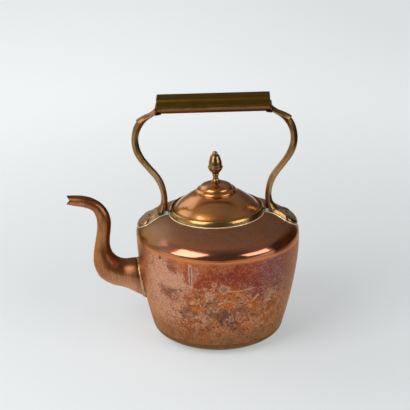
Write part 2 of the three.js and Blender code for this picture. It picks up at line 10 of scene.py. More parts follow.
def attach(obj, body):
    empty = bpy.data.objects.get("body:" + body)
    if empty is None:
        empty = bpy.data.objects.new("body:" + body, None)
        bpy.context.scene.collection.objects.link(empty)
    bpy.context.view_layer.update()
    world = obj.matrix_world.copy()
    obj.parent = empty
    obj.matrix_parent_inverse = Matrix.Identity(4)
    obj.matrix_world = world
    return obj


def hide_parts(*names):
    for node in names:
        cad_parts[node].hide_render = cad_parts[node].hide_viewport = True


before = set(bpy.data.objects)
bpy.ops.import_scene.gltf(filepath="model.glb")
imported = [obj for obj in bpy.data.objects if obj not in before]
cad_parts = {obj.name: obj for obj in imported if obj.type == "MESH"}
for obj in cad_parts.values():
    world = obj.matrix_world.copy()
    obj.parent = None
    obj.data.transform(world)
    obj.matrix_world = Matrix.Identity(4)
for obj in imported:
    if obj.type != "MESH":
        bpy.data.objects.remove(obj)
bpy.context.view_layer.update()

bl_info = {
    "name": "Copper kettle",
    "version": (1, 0, 0),
    "blender": (4, 5, 0),
    "location": "View3D > Sidebar > Kettle",
    "description": "Dresses a stovetop kettle with fine meshes and old copper and brass finishes",
    "category": "Add Mesh",
}

# Millimetres to metres
MM = 0.001

# How far the top leans, about which height, and over which heights the lean fades out
LEAN = radians(1.8)
LEAN_PIVOT = 100.0
LEAN_BLEND = 34.0
LEAN_MARGIN = 3.4

# Facets of the fine meshes
ROUND = 160
SMALL_ROUND = 64
SPOUT_SIDES = 56
SPOUT_ROWS = 150
SPOUT_ROOT_ROWS = 40
ARM_SIDES = 64
ARM_ROWS = 180
GRIP_ROWS = 40
FOOT_RINGS = 25
RIVET_SIDES = 28
NECK_BEAD_SIDES = 10
FOOT_BEAD_SIDES = 8
CORNER_STEPS = 10

# Details that no driving size sets, in millimetres or as shares
WALL_BULGE = 1.75
BASE_SHEET = 1.5
SPOUT_SHEET = 1.1
LID_SHEET = 1.1
GRIP_SHEET = 1.3
LEDGE_RISE = 1.4
LID_RISE = 2.8
SLEEVE = [(45.4, 0), (44.3, 0), (44.3, -11), (44.85, -11.5), (45.4, -11)]
STUD, STUD_HOLE, STUD_LENGTH = 2.0, 2.2, 7.4
SEAT_GAP = 0.3
RING_INSET, RING_RISE = 0.9, 1.7
# The lines of solder round the neck ring and the feet: half width and half height
NECK_BEAD, FOOT_BEAD, FOOT_BEAD_RISE = (0.75, 0.55), (0.85, 0.6), 0.25
FOOT_WIDTH, FOOT_TIP, FOOT_ROOT, FOOT_WIDEST = 17, 13.5, 5.4, 3
# The foot's edge, in from its outline and up, and its top
FOOT_EDGE, FOOT_TOP = [(0, -0.2), (0, 1.2), (0.35, 2.2), (1.1, 3.0), (2.2, 3.4)], 3.45
# The foot's raised middle and its two lobes: from which height, half sizes, place, turn and rise
RAISED_FROM, BULGE_WIDTH, BULGE_RISE = 3, 7.7, 1.6
BULGE_START, BULGE_END = 0.6, 3.8
LOBE_SIZE, LOBE_PLACE, LOBE_TURN, LOBE_RISE = (11, 3.4), (17, 10), (0.91, 0.41), 1.5
ARM_STANDOFF, ARM_DEPTH, ARM_SQUARENESS = 1.3, 4.6, 1.34
RIB_WIDTH, RIB_RISE, RIB_START, RIB_FADE = 0.05, 0.55, 0.16, 0.08
# The leaf above the spur: where it starts along the arm, how it rises, and how it widens
LEAF_START, LEAF_RISE, LEAF_EDGE, LEAF_SPREAD = 0.803, 1.3, 0.25, 0.07
# How much rounder the grip's lower front corner is, and how its ends are softened
GRIP_FRONT, GRIP_SOFT, GRIP_SOFT_LENGTH = 2.2, 0.35, 0.3
# The plate at the grip's end and the lip under it: place along the grip and inset or thickness
PLATE, PLATE_HEIGHT = [(0, 0.0), (1.2, 0.0), (1.9, 0.7)], 7.5
LIP, LIP_HEIGHT, LIP_GAP = [(-4.9, 0.35), (-2.5, 0.9), (1.2, 1.5), (1.9, 1.0)], 2.2, 0.4
# The notch of the beak, from the tip and a little below the top
BEAK, BEAK_DROP, BEAK_HALF = [(6.6, 0), (-6.8, 15), (-10, -14.2)], 5.6, 12
# The joint at the spout's root: shares of its width and rise, and its width below and above
JOINT = [(0, -0.5), (0, 0.9), (0.5, 1.05), (0.85, 0.85), (1, 0.35), (1, -0.5)]
JOINT_LOW, JOINT_HIGH = 4.2, 2.2
RIVET_TAIL = [(0.0, -2.9), (2.1, -2.7), (3.0, -1.7), (1.7, -1.7), (1.7, 3.4)]
RIVET_HEAD, RIVET_SEAT, RIVET_RISE = 2.7, 3.6, 1.25
# Steps over which the shoulder's slope is measured
SLOPE_STEP, PROBE_STEP = 0.4, 0.1
# The shoulder's hammer marks: their depth and how many fit in a millimetre
HAMMER_DEPTH, HAMMER_SCALE = 0.35, 0.035
# What holds the widest part back inside the CAD's box: how far below it, over how much, the share
HOLD_DROP, HOLD_SPAN, HOLD_SHARE = 4, 26, 0.0032

# Outlines as shares of the sizes that they follow, the same as in the CAD source
SHOULDER = [
    (1, 0), (0.984, 0.2), (0.914, 0.37), (0.81, 0.53), (0.68, 0.655), (0.527, 0.765),
    (0.333, 0.87), (0.15, 0.935), (0.054, 0.965),
]
BASE_CORNER = [(0.2, 0.06), (0.46, 0.2), (0.72, 0.43), (0.9, 0.68)]
LID_CONE = [(0.8, 0.29), (0.52, 0.6), (0.25, 0.85)]
FINIAL = [
    (0.66, 0), (0.66, 0.03), (0.5, 0.055), (0.375, 0.118), (0.38, 0.2), (0.46, 0.245),
    (0.42, 0.275), (0.56, 0.315), (0.86, 0.4), (0.98, 0.465), (1, 0.51), (0.885, 0.535),
    (0.89, 0.6), (0.845, 0.675), (0.76, 0.745), (0.68, 0.806), (0.58, 0.86), (0.38, 0.905),
    (0.34, 0.948), (0.25, 0.985),
]
# Rows of the arm and the spout: the inner line out and up, the outer line out and up, the depth
ARM_FOOT = [
    (0.082, -0.066, 0.932, -0.05, 1.6), (0.032, 0.001, 0.63, 0.009, 1.35),
    (0.005, 0.04, 0.475, 0.051, 1.2), (0.005, 0.069, 0.38, 0.077, 1.15),
]
ARM_LOWER = [
    (0.001, 0.132, 0.193, 0.133, 1), (0.026, 0.197, 0.213, 0.189, 1),
    (0.073, 0.261, 0.266, 0.242, 1.05), (0.159, 0.322, 0.345, 0.292, 1.1),
    (0.279, 0.375, 0.448, 0.339, 1.1), (0.409, 0.423, 0.569, 0.385, 1.1),
    (0.529, 0.469, 0.694, 0.433, 1.1), (0.637, 0.516, 0.821, 0.484, 1.1),
    (0.718, 0.566, 0.925, 0.542, 1.08), (0.77, 0.618, 0.985, 0.607, 1.05),
    (0.789, 0.672, 1, 0.673, 1.05),
]
ARM_UPPER = [
    (0.708, 0.725, 0.966, 0.739, 1.03), (0.628, 0.775, 0.883, 0.803, 1),
    (0.507, 0.821, 0.73, 0.86, 1), (0.349, 0.858, 0.497, 0.898, 1.05),
    (0.131, 0.892, 0.28, 0.923, 1.25), (0.04, 0.907, 0.12, 0.952, 1.6),
    (0.027, 0.918, 0.057, 0.972, 1.85),
]
SPOUT = [
    (0.361, 0.509, 0.442, 0.232, 0.86), (0.427, 0.522, 0.502, 0.259, 0.87),
    (0.486, 0.531, 0.556, 0.287, 0.88), (0.552, 0.535, 0.591, 0.307, 0.9),
    (0.611, 0.528, 0.639, 0.325, 0.92), (0.642, 0.531, 0.712, 0.345, 0.94),
    (0.657, 0.536, 0.788, 0.398, 0.96), (0.677, 0.549, 0.826, 0.484, 0.98),
    (0.703, 0.583, 0.828, 0.565, 1), (0.716, 0.633, 0.818, 0.636, 1),
    (0.716, 0.689, 0.807, 0.699, 1), (0.709, 0.749, 0.799, 0.757, 1),
    (0.706, 0.817, 0.798, 0.808, 1), (0.725, 0.887, 0.805, 0.851, 1),
    (0.768, 0.945, 0.822, 0.887, 1), (0.825, 0.981, 0.854, 0.908, 1),
    (0.883, 0.997, 0.896, 0.919, 1), (0.938, 1, 0.944, 0.927, 1), (0.99, 0.999, 1, 0.938, 0.97),
]
# The foot's side: a share out, and the half width there over the half width at its root
FOOT_SIDE = [(0, 1), (0.38, 1.35), (0.7, 2.35), (0.88, 3)]
# The lid's edge in millimetres, its bead as a share out, millimetres out and a share up, and its
# crown as shares out and up, all rounder than in the CAD source
LID_EDGE = [(-0.3, -1.1), (0, -0.8), (0, -0.3), (-0.3, 0), (-1.0, 0.02)]
LID_BEAD = [(1, 0, 0), (1, 0.35, 0.2), (1, 0.3, 0.45), (0.72, 0, 0.8), (0.35, 0, 0.97)]
LID_CROWN = [(0.985, 0.17), (0.93, 0.38), (0.81, 0.62), (0.6, 0.83), (0.4, 0.945)]


def length(name, description, millimetres):
    return bpy.props.FloatProperty(
        name=name, description=description, default=millimetres * MM, unit="LENGTH"
    )


def tint(name, description, red, green, blue):
    return bpy.props.FloatVectorProperty(
        name=name, description=description, default=(red, green, blue), subtype="COLOR",
        size=3, min=0, max=1,
    )


class KettleSizes(bpy.types.PropertyGroup):
    """The kettle's driving sizes"""

    widest: length("Widest radius", "Radius where the wall meets the shoulder", 94)
    widest_height: length("Widest height", "Height where the wall meets the shoulder", 123)
    foot: length("Foot radius", "Radius at the foot of the wall", 76.4)
    foot_height: length("Foot height", "Height where the wall meets the base", 14)
    flat: length("Flat radius", "Radius of the flat underside", 56)
    neck: length("Neck radius", "Outer radius of the neck", 47.5)
    shoulder_rise: length("Shoulder rise", "Height of the shoulder above the wall", 26.4)
    neck_curl: length("Neck curl", "Height over which the shoulder turns up into the neck", 0.9)
    neck_rise: length("Neck rise", "Height of the neck above the shoulder", 2.5)
    sheet: length("Sheet", "Thickness of the body's copper sheet", 1.2)
    flange: length("Ring flange", "Radius of the neck ring's lower edge", 54.4)
    rim: length("Ring rim", "Radius of the neck ring's upper edge", 52.1)
    lid: length("Lid radius", "Radius of the lid", 49.5)
    lid_cone_rise: length("Lid cone rise", "Height of the lid's cone", 17.2)
    bead: length("Bead radius", "Radius of the lid's bead", 22.7)
    bead_rise: length("Bead rise", "Height of the lid's bead", 4.6)
    crown: length("Crown radius", "Radius of the lid's crown", 18.8)
    crown_rise: length("Crown rise", "Height of the lid's crown", 6.6)
    knob_seat: length("Knob seat", "Radius of the flat that the finial stands on", 5.8)
    finial_height: length("Finial height", "Height of the finial", 36.3)
    finial_cup: length("Finial radius", "Radius of the finial's cup", 8.5)
    reach: length("Handle reach", "How far the uprights bow out", 93.2)
    grip_half: length("Grip half length", "Half the length of the grip", 62.8)
    grip_rise: length("Grip rise", "Height of the grip above the neck", 126.6)
    grip_tall: length("Grip height", "Height of the grip's section", 18.6)
    grip_deep: length("Grip depth", "Depth of the grip's section", 24)
    grip_corner: length("Grip corner", "Corner radius of the grip's section", 5)
    rivet_reach: length("Rivet reach", "Distance of the rivets from the axis", 77.5)
    rivet_spread: length("Rivet spread", "Distance between the rivets", 11.5)
    rivet_skew: length("Rivet skew", "How much further out the front rivet stands", 2)
    spout_reach: length("Spout reach", "Distance of the beak from the axis", 174.4)
    spout_top: length("Spout top", "Height of the spout's top", 166)


class KettleColours(bpy.types.PropertyGroup):
    """The colours of the finishes"""

    copper: tint("Copper", "The body's warm copper", 0.42, 0.12, 0.038)
    tan: tint("Pale copper", "The worn, pink-tan patches", 0.78, 0.4, 0.26)
    orange: tint("Orange copper", "The bright orange patches", 0.58, 0.15, 0.025)
    red: tint("Red oxide", "The red-brown patches near the top", 0.38, 0.06, 0.024)
    crimson: tint("Heat crimson", "The dark crimson heat marks", 0.27, 0.043, 0.036)
    mauve: tint("Heat mauve", "The dull mauve of the right-hand side", 0.26, 0.085, 0.095)
    plum: tint("Plum stain", "The dark plum stains", 0.13, 0.055, 0.06)
    moss: tint("Moss stain", "The dark olive stains", 0.17, 0.11, 0.05)
    smoke: tint("Smoke", "The dark specks and pits", 0.09, 0.055, 0.035)
    soot: tint("Soot", "The brown grime near the base", 0.23, 0.105, 0.042)
    edge: tint("Polished edge", "The bright line at the top of the wall", 0.62, 0.2, 0.065)
    band: tint("Polished band", "The dark, polished turn of the shoulder", 0.4, 0.095, 0.012)
    shoulder: tint("Shoulder", "The brown patina of the shoulder", 0.25, 0.08, 0.028)
    dust: tint("Dust", "The pale dust on the shoulder", 0.22, 0.12, 0.07)
    spout: tint("Spout copper", "The spout's orange-brown patina", 0.4, 0.15, 0.048)
    lid: tint("Lid copper", "The lid's golden brown patina", 0.56, 0.2, 0.028)
    brass: tint("Ring brass", "The neck ring", 0.42, 0.24, 0.06)
    handle: tint("Handle brass", "The uprights and the finial", 0.27, 0.145, 0.045)
    grip: tint("Grip brass", "The grip's dark olive patina", 0.135, 0.07, 0.01)
    verdigris: tint("Verdigris", "The pale green in the corners", 0.42, 0.64, 0.5)
    tin: tint("Tin", "The lid's sleeve and the inside of the body", 0.55, 0.5, 0.42)
    floor: tint("Floor", "The pale floor", 0.785, 0.815, 0.83)


# The finishes


class Millimetres:
    """The driving sizes, in millimetres"""

    def __getattr__(self, name):
        return getattr(bpy.context.scene.kettle_sizes, name) / MM


mm = Millimetres()


def arithmetic(operation, swapped=False):
    """The method that adds a Math node for one sign"""

    def apply(self, other):
        values = [other, self] if swapped else [self, other]
        node = self.nodes.node("ShaderNodeMath", {"operation": operation}, values)
        return Value(self.nodes, node.outputs[0])

    return apply


class Value:
    """A number in a material, on which arithmetic adds Math nodes"""

    __add__, __radd__ = arithmetic("ADD"), arithmetic("ADD", swapped=True)
    __sub__, __rsub__ = arithmetic("SUBTRACT"), arithmetic("SUBTRACT", swapped=True)
    __mul__, __rmul__ = arithmetic("MULTIPLY"), arithmetic("MULTIPLY", swapped=True)

    def __init__(self, nodes, socket):
        self.nodes = nodes
        self.socket = socket

    def math(self, operation, *others):
        node = self.nodes.node("ShaderNodeMath", {"operation": operation}, [self, *others])
        return Value(self.nodes, node.outputs[0])

    def smooth(self, start, end):
        """0 before start and 1 past end, whichever of the two is the higher"""
        low, high = (0.0, 1.0) if start < end else (1.0, 0.0)
        node = self.nodes.node(
            "ShaderNodeMapRange", {"interpolation_type": "SMOOTHSTEP"},
            {"Value": self, "From Min": min(start, end), "From Max": max(start, end),
             "To Min": low, "To Max": high},
        )
        return Value(self.nodes, node.outputs["Result"])


class Nodes:
    """A node tree, and the nodes that the finishes and the studio share"""

    def __init__(self, tree):
        self.tree = tree

    def node(self, kind, settings=None, sockets=None):
        node = self.tree.nodes.new(kind)
        for key, value in (settings or {}).items():
            setattr(node, key, value)
        items = sockets.items() if isinstance(sockets, dict) else enumerate(sockets or [])
        for key, value in items:
            self.put(node.inputs[key], value)
        return node

    def put(self, socket, value):
        """Links or sets a socket, from a Value, a socket, a number, a colour or its name"""
        if isinstance(value, Value):
            value = value.socket
        if isinstance(value, str):
            value = tuple(getattr(bpy.context.scene.kettle_colours, value))
        if isinstance(value, bpy.types.NodeSocket):
            self.tree.links.new(value, socket)
        elif isinstance(value, (int, float)) or len(value) == len(socket.default_value):
            socket.default_value = value
        else:
            socket.default_value = (*value, 1)

    def split(self, vector):
        node = self.node("ShaderNodeSeparateXYZ", None, [vector])
        return [Value(self, output) for output in node.outputs]

    def mix(self, factor, low, high, blend="MIX"):
        node = self.node("ShaderNodeMix", {"data_type": "RGBA", "blend_type": blend})
        for key, value in ((0, factor), (6, low), (7, high)):
            self.put(node.inputs[key], value)
        return node.outputs[2]

    def vector_math(self, operation, *vectors):
        return self.node("ShaderNodeVectorMath", {"operation": operation}, vectors).outputs[0]

    def measure(self, operation, *vectors):
        """The number that Vector Math makes of vectors, such as a length"""
        node = self.node("ShaderNodeVectorMath", {"operation": operation}, vectors)
        return Value(self, node.outputs["Value"])

    def scaled(self, vector, scale):
        sockets = {"Vector": vector, "Scale": scale}
        return self.node("ShaderNodeVectorMath", {"operation": "SCALE"}, sockets).outputs[0]


class Finish(Nodes):
    """One material, with its shader and its textures placed in millimetres"""

    def __init__(self, name, metal=1.0, coat=0.0, coat_roughness=0.1, coat_ior=1.5):
        self.material = bpy.data.materials.new(name)
        self.material.use_nodes = True
        super().__init__(self.material.node_tree)
        self.shader = self.tree.nodes["Principled BSDF"]
        self.set({
            "Metallic": metal, "Specular Tint": (1, 0.78, 0.52) if metal else (1, 1, 1),
            "Coat Weight": coat, "Coat Roughness": coat_roughness, "Coat IOR": coat_ior,
        })
        coordinates = self.node("ShaderNodeTexCoord").outputs
        self.place = self.scaled(coordinates["Object"], 1 / MM)
        self.x, self.y, self.z = self.split(self.place)
        self.facing_x, self.facing_y, self.facing_z = self.split(coordinates["Normal"])

    def set(self, sockets):
        for key, value in sockets.items():
            self.put(self.shader.inputs[key], value)

    def start(self, factor, low, high):
        self.shade = self.mix(factor, low, high)

    def lay(self, mask, colour, blend="MIX"):
        """Lays a colour over the shade, as much as the mask shows"""
        self.shade = self.mix(mask, self.shade, colour, blend)

    def finish(self, roughness, normal, **others):
        """Joins the shade and the rest to the shader, and returns the material"""
        self.set({"Base Color": self.shade, "Roughness": roughness, "Normal": normal, **others})
        return self.material

    def noise(self, scale, detail=3.0, roughness=0.5, distortion=0.0, place=None):
        """Cloudy noise from 0 to 1, with its scale in features per millimetre"""
        node = self.node("ShaderNodeTexNoise", None, {
            "Vector": place or self.place, "Scale": scale, "Detail": detail,
            "Roughness": roughness, "Distortion": distortion,
        })
        return Value(self, node.outputs["Fac"])

    def cells(self, scale):
        """Distance to the nearest of scattered points, and that point's random number"""
        sockets = {"Vector": self.place, "Scale": scale, "Randomness": 1.0}
        node = self.node("ShaderNodeTexVoronoi", None, sockets)
        split = self.node("ShaderNodeSeparateColor", None, {"Color": node.outputs["Color"]})
        return Value(self, node.outputs["Distance"]), Value(self, split.outputs[0])

    def stretched(self, x, y, z):
        return self.vector_math("MULTIPLY", self.place, (x, y, z))

    def bump(self, height, distance, after=None):
        sockets = {"Height": height, "Distance": distance * MM, "Strength": 1.0}
        if after is not None:
            sockets["Normal"] = after
        return self.node("ShaderNodeBump", None, sockets).outputs["Normal"]

    def wobbled(self, scale, amount, detail):
        """The place, shifted about by cloudy noise, for ragged outlines"""
        sockets = {"Vector": self.place, "Scale": scale, "Detail": detail}
        cloud = self.node("ShaderNodeTexNoise", None, sockets).outputs["Color"]
        shift = self.vector_math("SUBTRACT", cloud, (0.5, 0.5, 0.5))
        return self.vector_math("ADD", self.place, self.scaled(shift, amount))

    def distance(self, point, place=None):
        return self.measure("DISTANCE", place or self.place, point)

    def line(self, start, end, place):
        """Distance from the straight line between two points"""
        along = Vector(end) - Vector(start)
        away = self.vector_math("SUBTRACT", place, start)
        share = self.measure("DOT_PRODUCT", away, tuple(along / along.length_squared))
        share = share.math("MAXIMUM", 0.0).math("MINIMUM", 1.0)
        return self.measure("DISTANCE", away, self.scaled(tuple(along), share))

    def corners(self, near, far):
        """1 by the front corners between the feet and the neck ring, and 0 far from them"""
        left, right = (self.distance(corner).smooth(far, near) for corner in GREEN_CORNERS)
        return left + right


@cache
def finish_of(make):
    """Makes each finish once"""
    return make()


# Where verdigris gathers, in millimetres
GREEN_CORNERS = [(-57, -6, 146), (54, -6, 149)]
# Marks on the wall, placed in millimetres: ragged patches with their radius, colour and strength
PATCHES = [
    ((-58, -68, 94), 30, "tan", 0.8), ((-62, -60, 64), 30, "tan", 0.6),
    ((-44, -81, 96), 12, "tan", 0.6), ((-22, -90, 111), 15, "red", 0.75),
    ((-28, -88, 95), 10, "red", 0.55), ((-2, -93, 113), 12, "red", 0.7),
    ((-14, -92, 106), 20, "red", 0.8), ((10, -92, 100), 24, "red", 0.85),
    ((15, -92, 112), 15, "crimson", 0.9), ((36, -87, 106), 21, "red", 0.85),
    ((28, -88, 95), 15, "crimson", 0.6), ((45, -80, 87), 15, "crimson", 0.95),
    ((50, -75, 74), 11, "crimson", 0.9), ((60, -70, 108), 22, "mauve", 0.8),
    ((72, -56, 90), 22, "mauve", 0.7), ((78, -45, 60), 20, "mauve", 0.4),
    ((-51, -79, 113), 10, "crimson", 0.85), ((-60, -67, 80), 8, "crimson", 0.75),
    ((-51, -74, 76), 10, "crimson", 0.65), ((-24, -88, 84), 12, "red", 0.6),
    ((15, -89, 77), 16, "orange", 0.85), ((-22, -86, 68), 11, "orange", 0.8),
    ((-7, -83, 43), 10, "orange", 0.7), ((36, -81, 66), 11, "orange", 0.8),
    ((33, -74, 33), 10, "orange", 0.8), ((-12, -78, 23), 11, "orange", 0.5),
    ((22, -78, 30), 10, "orange", 0.6), ((-20, -92, 119), 12, "edge", 0.7),
    ((8, -94, 121), 12, "edge", 0.6), ((-44, -83, 119), 10, "edge", 0.6),
    ((57, -68, 75), 9, "tan", 0.55), ((-9, -90, 80), 7, "tan", 0.6),
    ((-14, -84, 51), 9, "tan", 0.5), ((-26, -89, 105), 6, "tan", 0.45),
    ((-35, -84, 88), 8, "tan", 0.6),
]
# Dark clusters that lie over the flecks
CLUSTERS = [
    ((-33, -80, 54), 9, "plum", 0.6), ((-4, -89, 71), 8, "moss", 0.7),
    ((-3, -86, 57), 10, "moss", 0.75), ((9, -85, 55), 9, "plum", 0.9),
    ((16, -82, 42), 10, "plum", 0.9), ((28, -82, 59), 9, "plum", 0.75),
    ((-10, -84, 44), 6, "moss", 0.6), ((14, -77, 20), 8, "moss", 1.0),
    ((41, -68, 24), 7, "moss", 0.9), ((-58, -56, 30), 11, "moss", 0.35),
    ((-41, -81, 85), 4, "plum", 0.6), ((24, -79, 33), 6, "plum", 0.5),
]
# Dark spots with a pale rim: their radius
SPOTS = [
    ((-24, -90, 114), 1.5), ((7, -91, 90), 3.8), ((-41, -81, 85), 3.0), ((-31, -80, 55), 1.6),
    ((50, -65, 38), 1.6), ((-2, -88, 64), 2.2), ((15, -84, 50), 2.0), ((41, -68, 24), 1.6),
    ((-10, -86, 60), 1.4), ((22, -82, 58), 1.6), ((-36, -78, 46), 1.3), ((-20, -84, 72), 1.2),
]
# Bare pale rings: their radius
RINGS = [
    ((-4, -92, 96), 2.2), ((-6, -91, 90), 1.5), ((-14, -90, 90), 1.6), ((-30, -84, 70), 1.3),
    ((2, -88, 72), 1.8), ((-12, -88, 76), 1.4), ((36, -80, 66), 1.6), ((52, -72, 88), 1.6),
    ((-12, -89, 82), 1.6), ((-7, -90, 78), 1.5), ((-24, -83, 52), 1.6), ((-16, -84, 48), 1.7),
]
# Runs and scratches: two ends, half width, colour, strength
STREAKS = [
    ((-31, -89, 117), (-30, -87, 91), 2.5, "tan", 0.85),
    ((-31, -89, 115), (-30, -87, 93), 0.8, "smoke", 0.8),
    ((-24, -91, 125), (-24, -91, 116), 0.6, "smoke", 0.9),
    ((12, -91, 87), (26, -88, 87), 0.8, "tan", 0.8),
    ((26, -88, 87), (40, -82, 89), 0.8, "tan", 0.8),
    ((-64, -68, 130), (-64, -68, 118), 2.0, "plum", 0.85),
    ((-54, -73, 82), (-44, -79, 84), 1.6, "moss", 0.5),
    ((38, -80, 72), (44, -79, 78), 1.4, "tan", 0.8),
    ((-22, -88, 88), (-16, -90, 91), 0.9, "tan", 0.8),
]
# Heights on the body, in millimetres, between which each finish comes in
GLOW, BARE_LINE, BAND = (118.6, 121.5), (120.6, 122.2), (123, 125.5)
POLISH, DUST = (123.5, 126.5), (134, 139)
# The tin where it has dulled
DULL_TIN = (0.24, 0.2, 0.15)


def body_copper():
    f = Finish("body_copper", coat_roughness=0.11, coat_ior=2.1)
    around = f.x.math("ARCTAN2", f.y * -1.0) * (180 / pi)
    cloud = f.noise(0.035, 5, 0.6)
    blotch = f.noise(0.09, 6, 0.65, 0.6)
    grain = f.noise(0.55, 5, 0.7)
    ragged = f.z + (f.noise(0.15, 3) - 0.5) * 3.0
    edge = ragged.smooth(*BARE_LINE)
    shoulder = f.z.smooth(*DUST)

    f.start(blotch.smooth(0.45, 0.6), "copper", "orange")
    wear_and_painted_reflection = f.x.smooth(-20, -64) * 0.85 + cloud.smooth(0.54, 0.7) * 0.4
    wear_and_painted_reflection = (wear_and_painted_reflection + (blotch - 0.5) * 2.6).smooth(0.45, 0.9)
    f.lay(wear_and_painted_reflection * 0.6, "tan")
    rosy = f.noise(0.16, 6, 0.7, 0.8).smooth(0.5, 0.6) * f.x.smooth(0, -46)
    f.lay(rosy * 0.45, "red")
    heat = f.x.smooth(0, 70) * f.z.smooth(56, 84) * 0.75 + cloud.smooth(0.5, 0.36) * 0.35
    heat = (heat + (blotch - 0.5) * 2.6).smooth(0.4, 1.0)
    f.lay(heat * 0.6, "mauve")
    dents = wall_marks(f, around, blotch, grain)

    f.lay(ragged.smooth(*GLOW) * 0.6, "edge")
    f.lay(edge, f.mix(f.z.smooth(*BAND), "edge", "band"))
    # Painted dark reflection at the left end of the polished band
    notch = f.z.smooth(123.5, 126) * f.x.smooth(-56, -67) * f.y.smooth(10, -20)
    f.lay(notch * 0.75, (0.15, 0.08, 0.018))
    dust_and_painted_light = f.mix(blotch.smooth(0.4, 0.62), "shoulder", (0.2, 0.085, 0.05))
    mottled = f.noise(0.3, 7, 0.78)
    dust_and_painted_light = f.mix(mottled.smooth(0.46, 0.58) * 0.55, dust_and_painted_light, "dust")
    dust_and_painted_light = f.mix(mottled.smooth(0.47, 0.38) * 0.4, dust_and_painted_light, (0.13, 0.04, 0.02))
    # Painted light: the shoulder's patina is painted paler towards the left
    dust_and_painted_light = f.mix(f.x.smooth(-32, -76) * 0.6, dust_and_painted_light, (0.36, 0.2, 0.11))
    f.lay(shoulder, dust_and_painted_light)
    normal = f.bump(f.noise(0.045, 2), 0.3)
    normal = f.bump(grain * 0.5 - dents * (1 - edge), 0.08, after=normal)
    front = around.smooth(56, 42) * around.smooth(-52, -38)
    rough = 0.3 + grain * 0.16 - edge * (0.05 + front * 0.17) + shoulder * (0.1 + front * 0.25)
    glossy = f.z.smooth(*POLISH) * (1 - shoulder) * (0.15 + front * 0.6)
    coat = 0.04 + glossy + f.x.smooth(47, 92) * 0.16
    # The tinned inside, where the sheet faces the axis
    inside = (f.facing_x * f.x + f.facing_y * f.y).smooth(-1.0, -5.0)
    f.lay(inside, f.mix(blotch, "tin", DULL_TIN))
    return f.finish(rough + inside * 0.15, normal, **{
        "Coat Weight": coat * (1 - inside),
        "Metallic": 1 - shoulder * (0.25 + grain * 0.3) * (1 - inside),
    })


def wall_marks(f, around, blotch, grain):
    """Lays the marks over the wall's colour, and returns how deep they are pitted"""
    ragged = (f.noise(0.34, 8, 0.78, 0.3) - 0.5) * 4.2
    wide = f.wobbled(0.13, 13, 6)
    for centre, radius, name, strength in PATCHES:
        mask = 1.15 + ragged - f.distance(centre, wide) * (1 / radius)
        f.lay(mask.smooth(0.0, 0.5) * strength, name)

    lower = f.z.smooth(102, 76) * (around - 8).math("ABSOLUTE").smooth(70, 30)
    upper = f.z.smooth(74, 92)
    fine = f.noise(0.5, 6, 0.78, 0.8)
    f.lay(fine.smooth(0.56, 0.62) * (0.1 + blotch * 0.5), "tan")
    distance, chance = f.cells(0.6)
    dots = distance.smooth(0.32, 0.14) * chance.smooth(0.5, 0.65)
    f.lay(dots * (0.15 + upper * 0.52), "tan")
    specks = distance.smooth(0.4, 0.2) * chance.smooth(0.36, 0.26)
    f.lay(specks * 0.7, "smoke")
    # Curled flecks: dark inside, with a thin pale rim
    curl = f.noise(0.19, 7, 0.7, 1.6) - lower * 0.05 + upper * 0.025
    rim = (curl - 0.43).math("ABSOLUTE").smooth(0.035, 0.01)
    f.lay(rim * blotch.smooth(0.4, 0.52) * (0.5 + lower * 0.5), (0.82, 0.46, 0.26))
    pits = curl.smooth(0.415, 0.38)
    f.lay(pits * 0.85, f.mix(blotch.smooth(0.45, 0.55), "smoke", "plum"))
    for centre, radius, name, strength in CLUSTERS:
        mask = 1.1 + ragged * 1.6 - f.distance(centre, wide) * (1 / radius)
        mask = mask.smooth(0.0, 0.6) * (0.55 + specks * 0.4 + blotch * 0.3)
        f.lay(mask * strength, name)

    near = f.wobbled(0.3, 4.5, 5)
    for start, end, width, name, strength in STREAKS:
        mask = f.line(start, end, near).smooth(width * 1.25, width * 0.6)
        f.lay(mask * strength, name)
    for centre, radius in RINGS:
        away = f.distance(centre, near)
        mask = (away - radius).math("ABSOLUTE").smooth(radius * 0.6, radius * 0.15)
        f.lay(mask * 0.75, "tan")
    dents = pits * 0.5
    for centre, radius in SPOTS:
        away = f.distance(centre, near) + ragged * (radius * 0.9)
        halo = away.smooth(radius * 1.8, radius * 1.3)
        f.lay(halo * 0.65, "tan")
        core = away.smooth(radius * 1.1, radius * 0.6)
        f.lay(core * 0.75, "moss")
        dents = dents + core
    f.lay(grain.smooth(0.35, 0.65) * 0.6, (0.5, 0.42, 0.38), "MULTIPLY")
    sooty = (f.z.smooth(64, 8) + (blotch - 0.5) * 1.4).smooth(0.35, 1.0)
    f.lay(sooty * 0.65, "soot")
    return dents


def base_copper():
    f = Finish("base_copper", coat=0.1, coat_roughness=0.3)
    blotch = f.noise(0.09, 6, 0.65, 0.6)
    grain = f.noise(0.5, 4)
    f.start(blotch.smooth(0.35, 0.65), "soot", (0.16, 0.075, 0.035))
    f.lay(grain.smooth(0.5, 0.7) * 0.4, "smoke")
    # Painted shade on the lowest three millimetres, where the base meets the floor
    f.lay(f.z.smooth(3, 0.3), (0.05, 0.03, 0.02))
    f.lay(f.facing_z.smooth(0.3, 0.7), f.mix(blotch, "tin", DULL_TIN))
    return f.finish(0.32 + blotch * 0.2, f.bump(grain, 0.08))


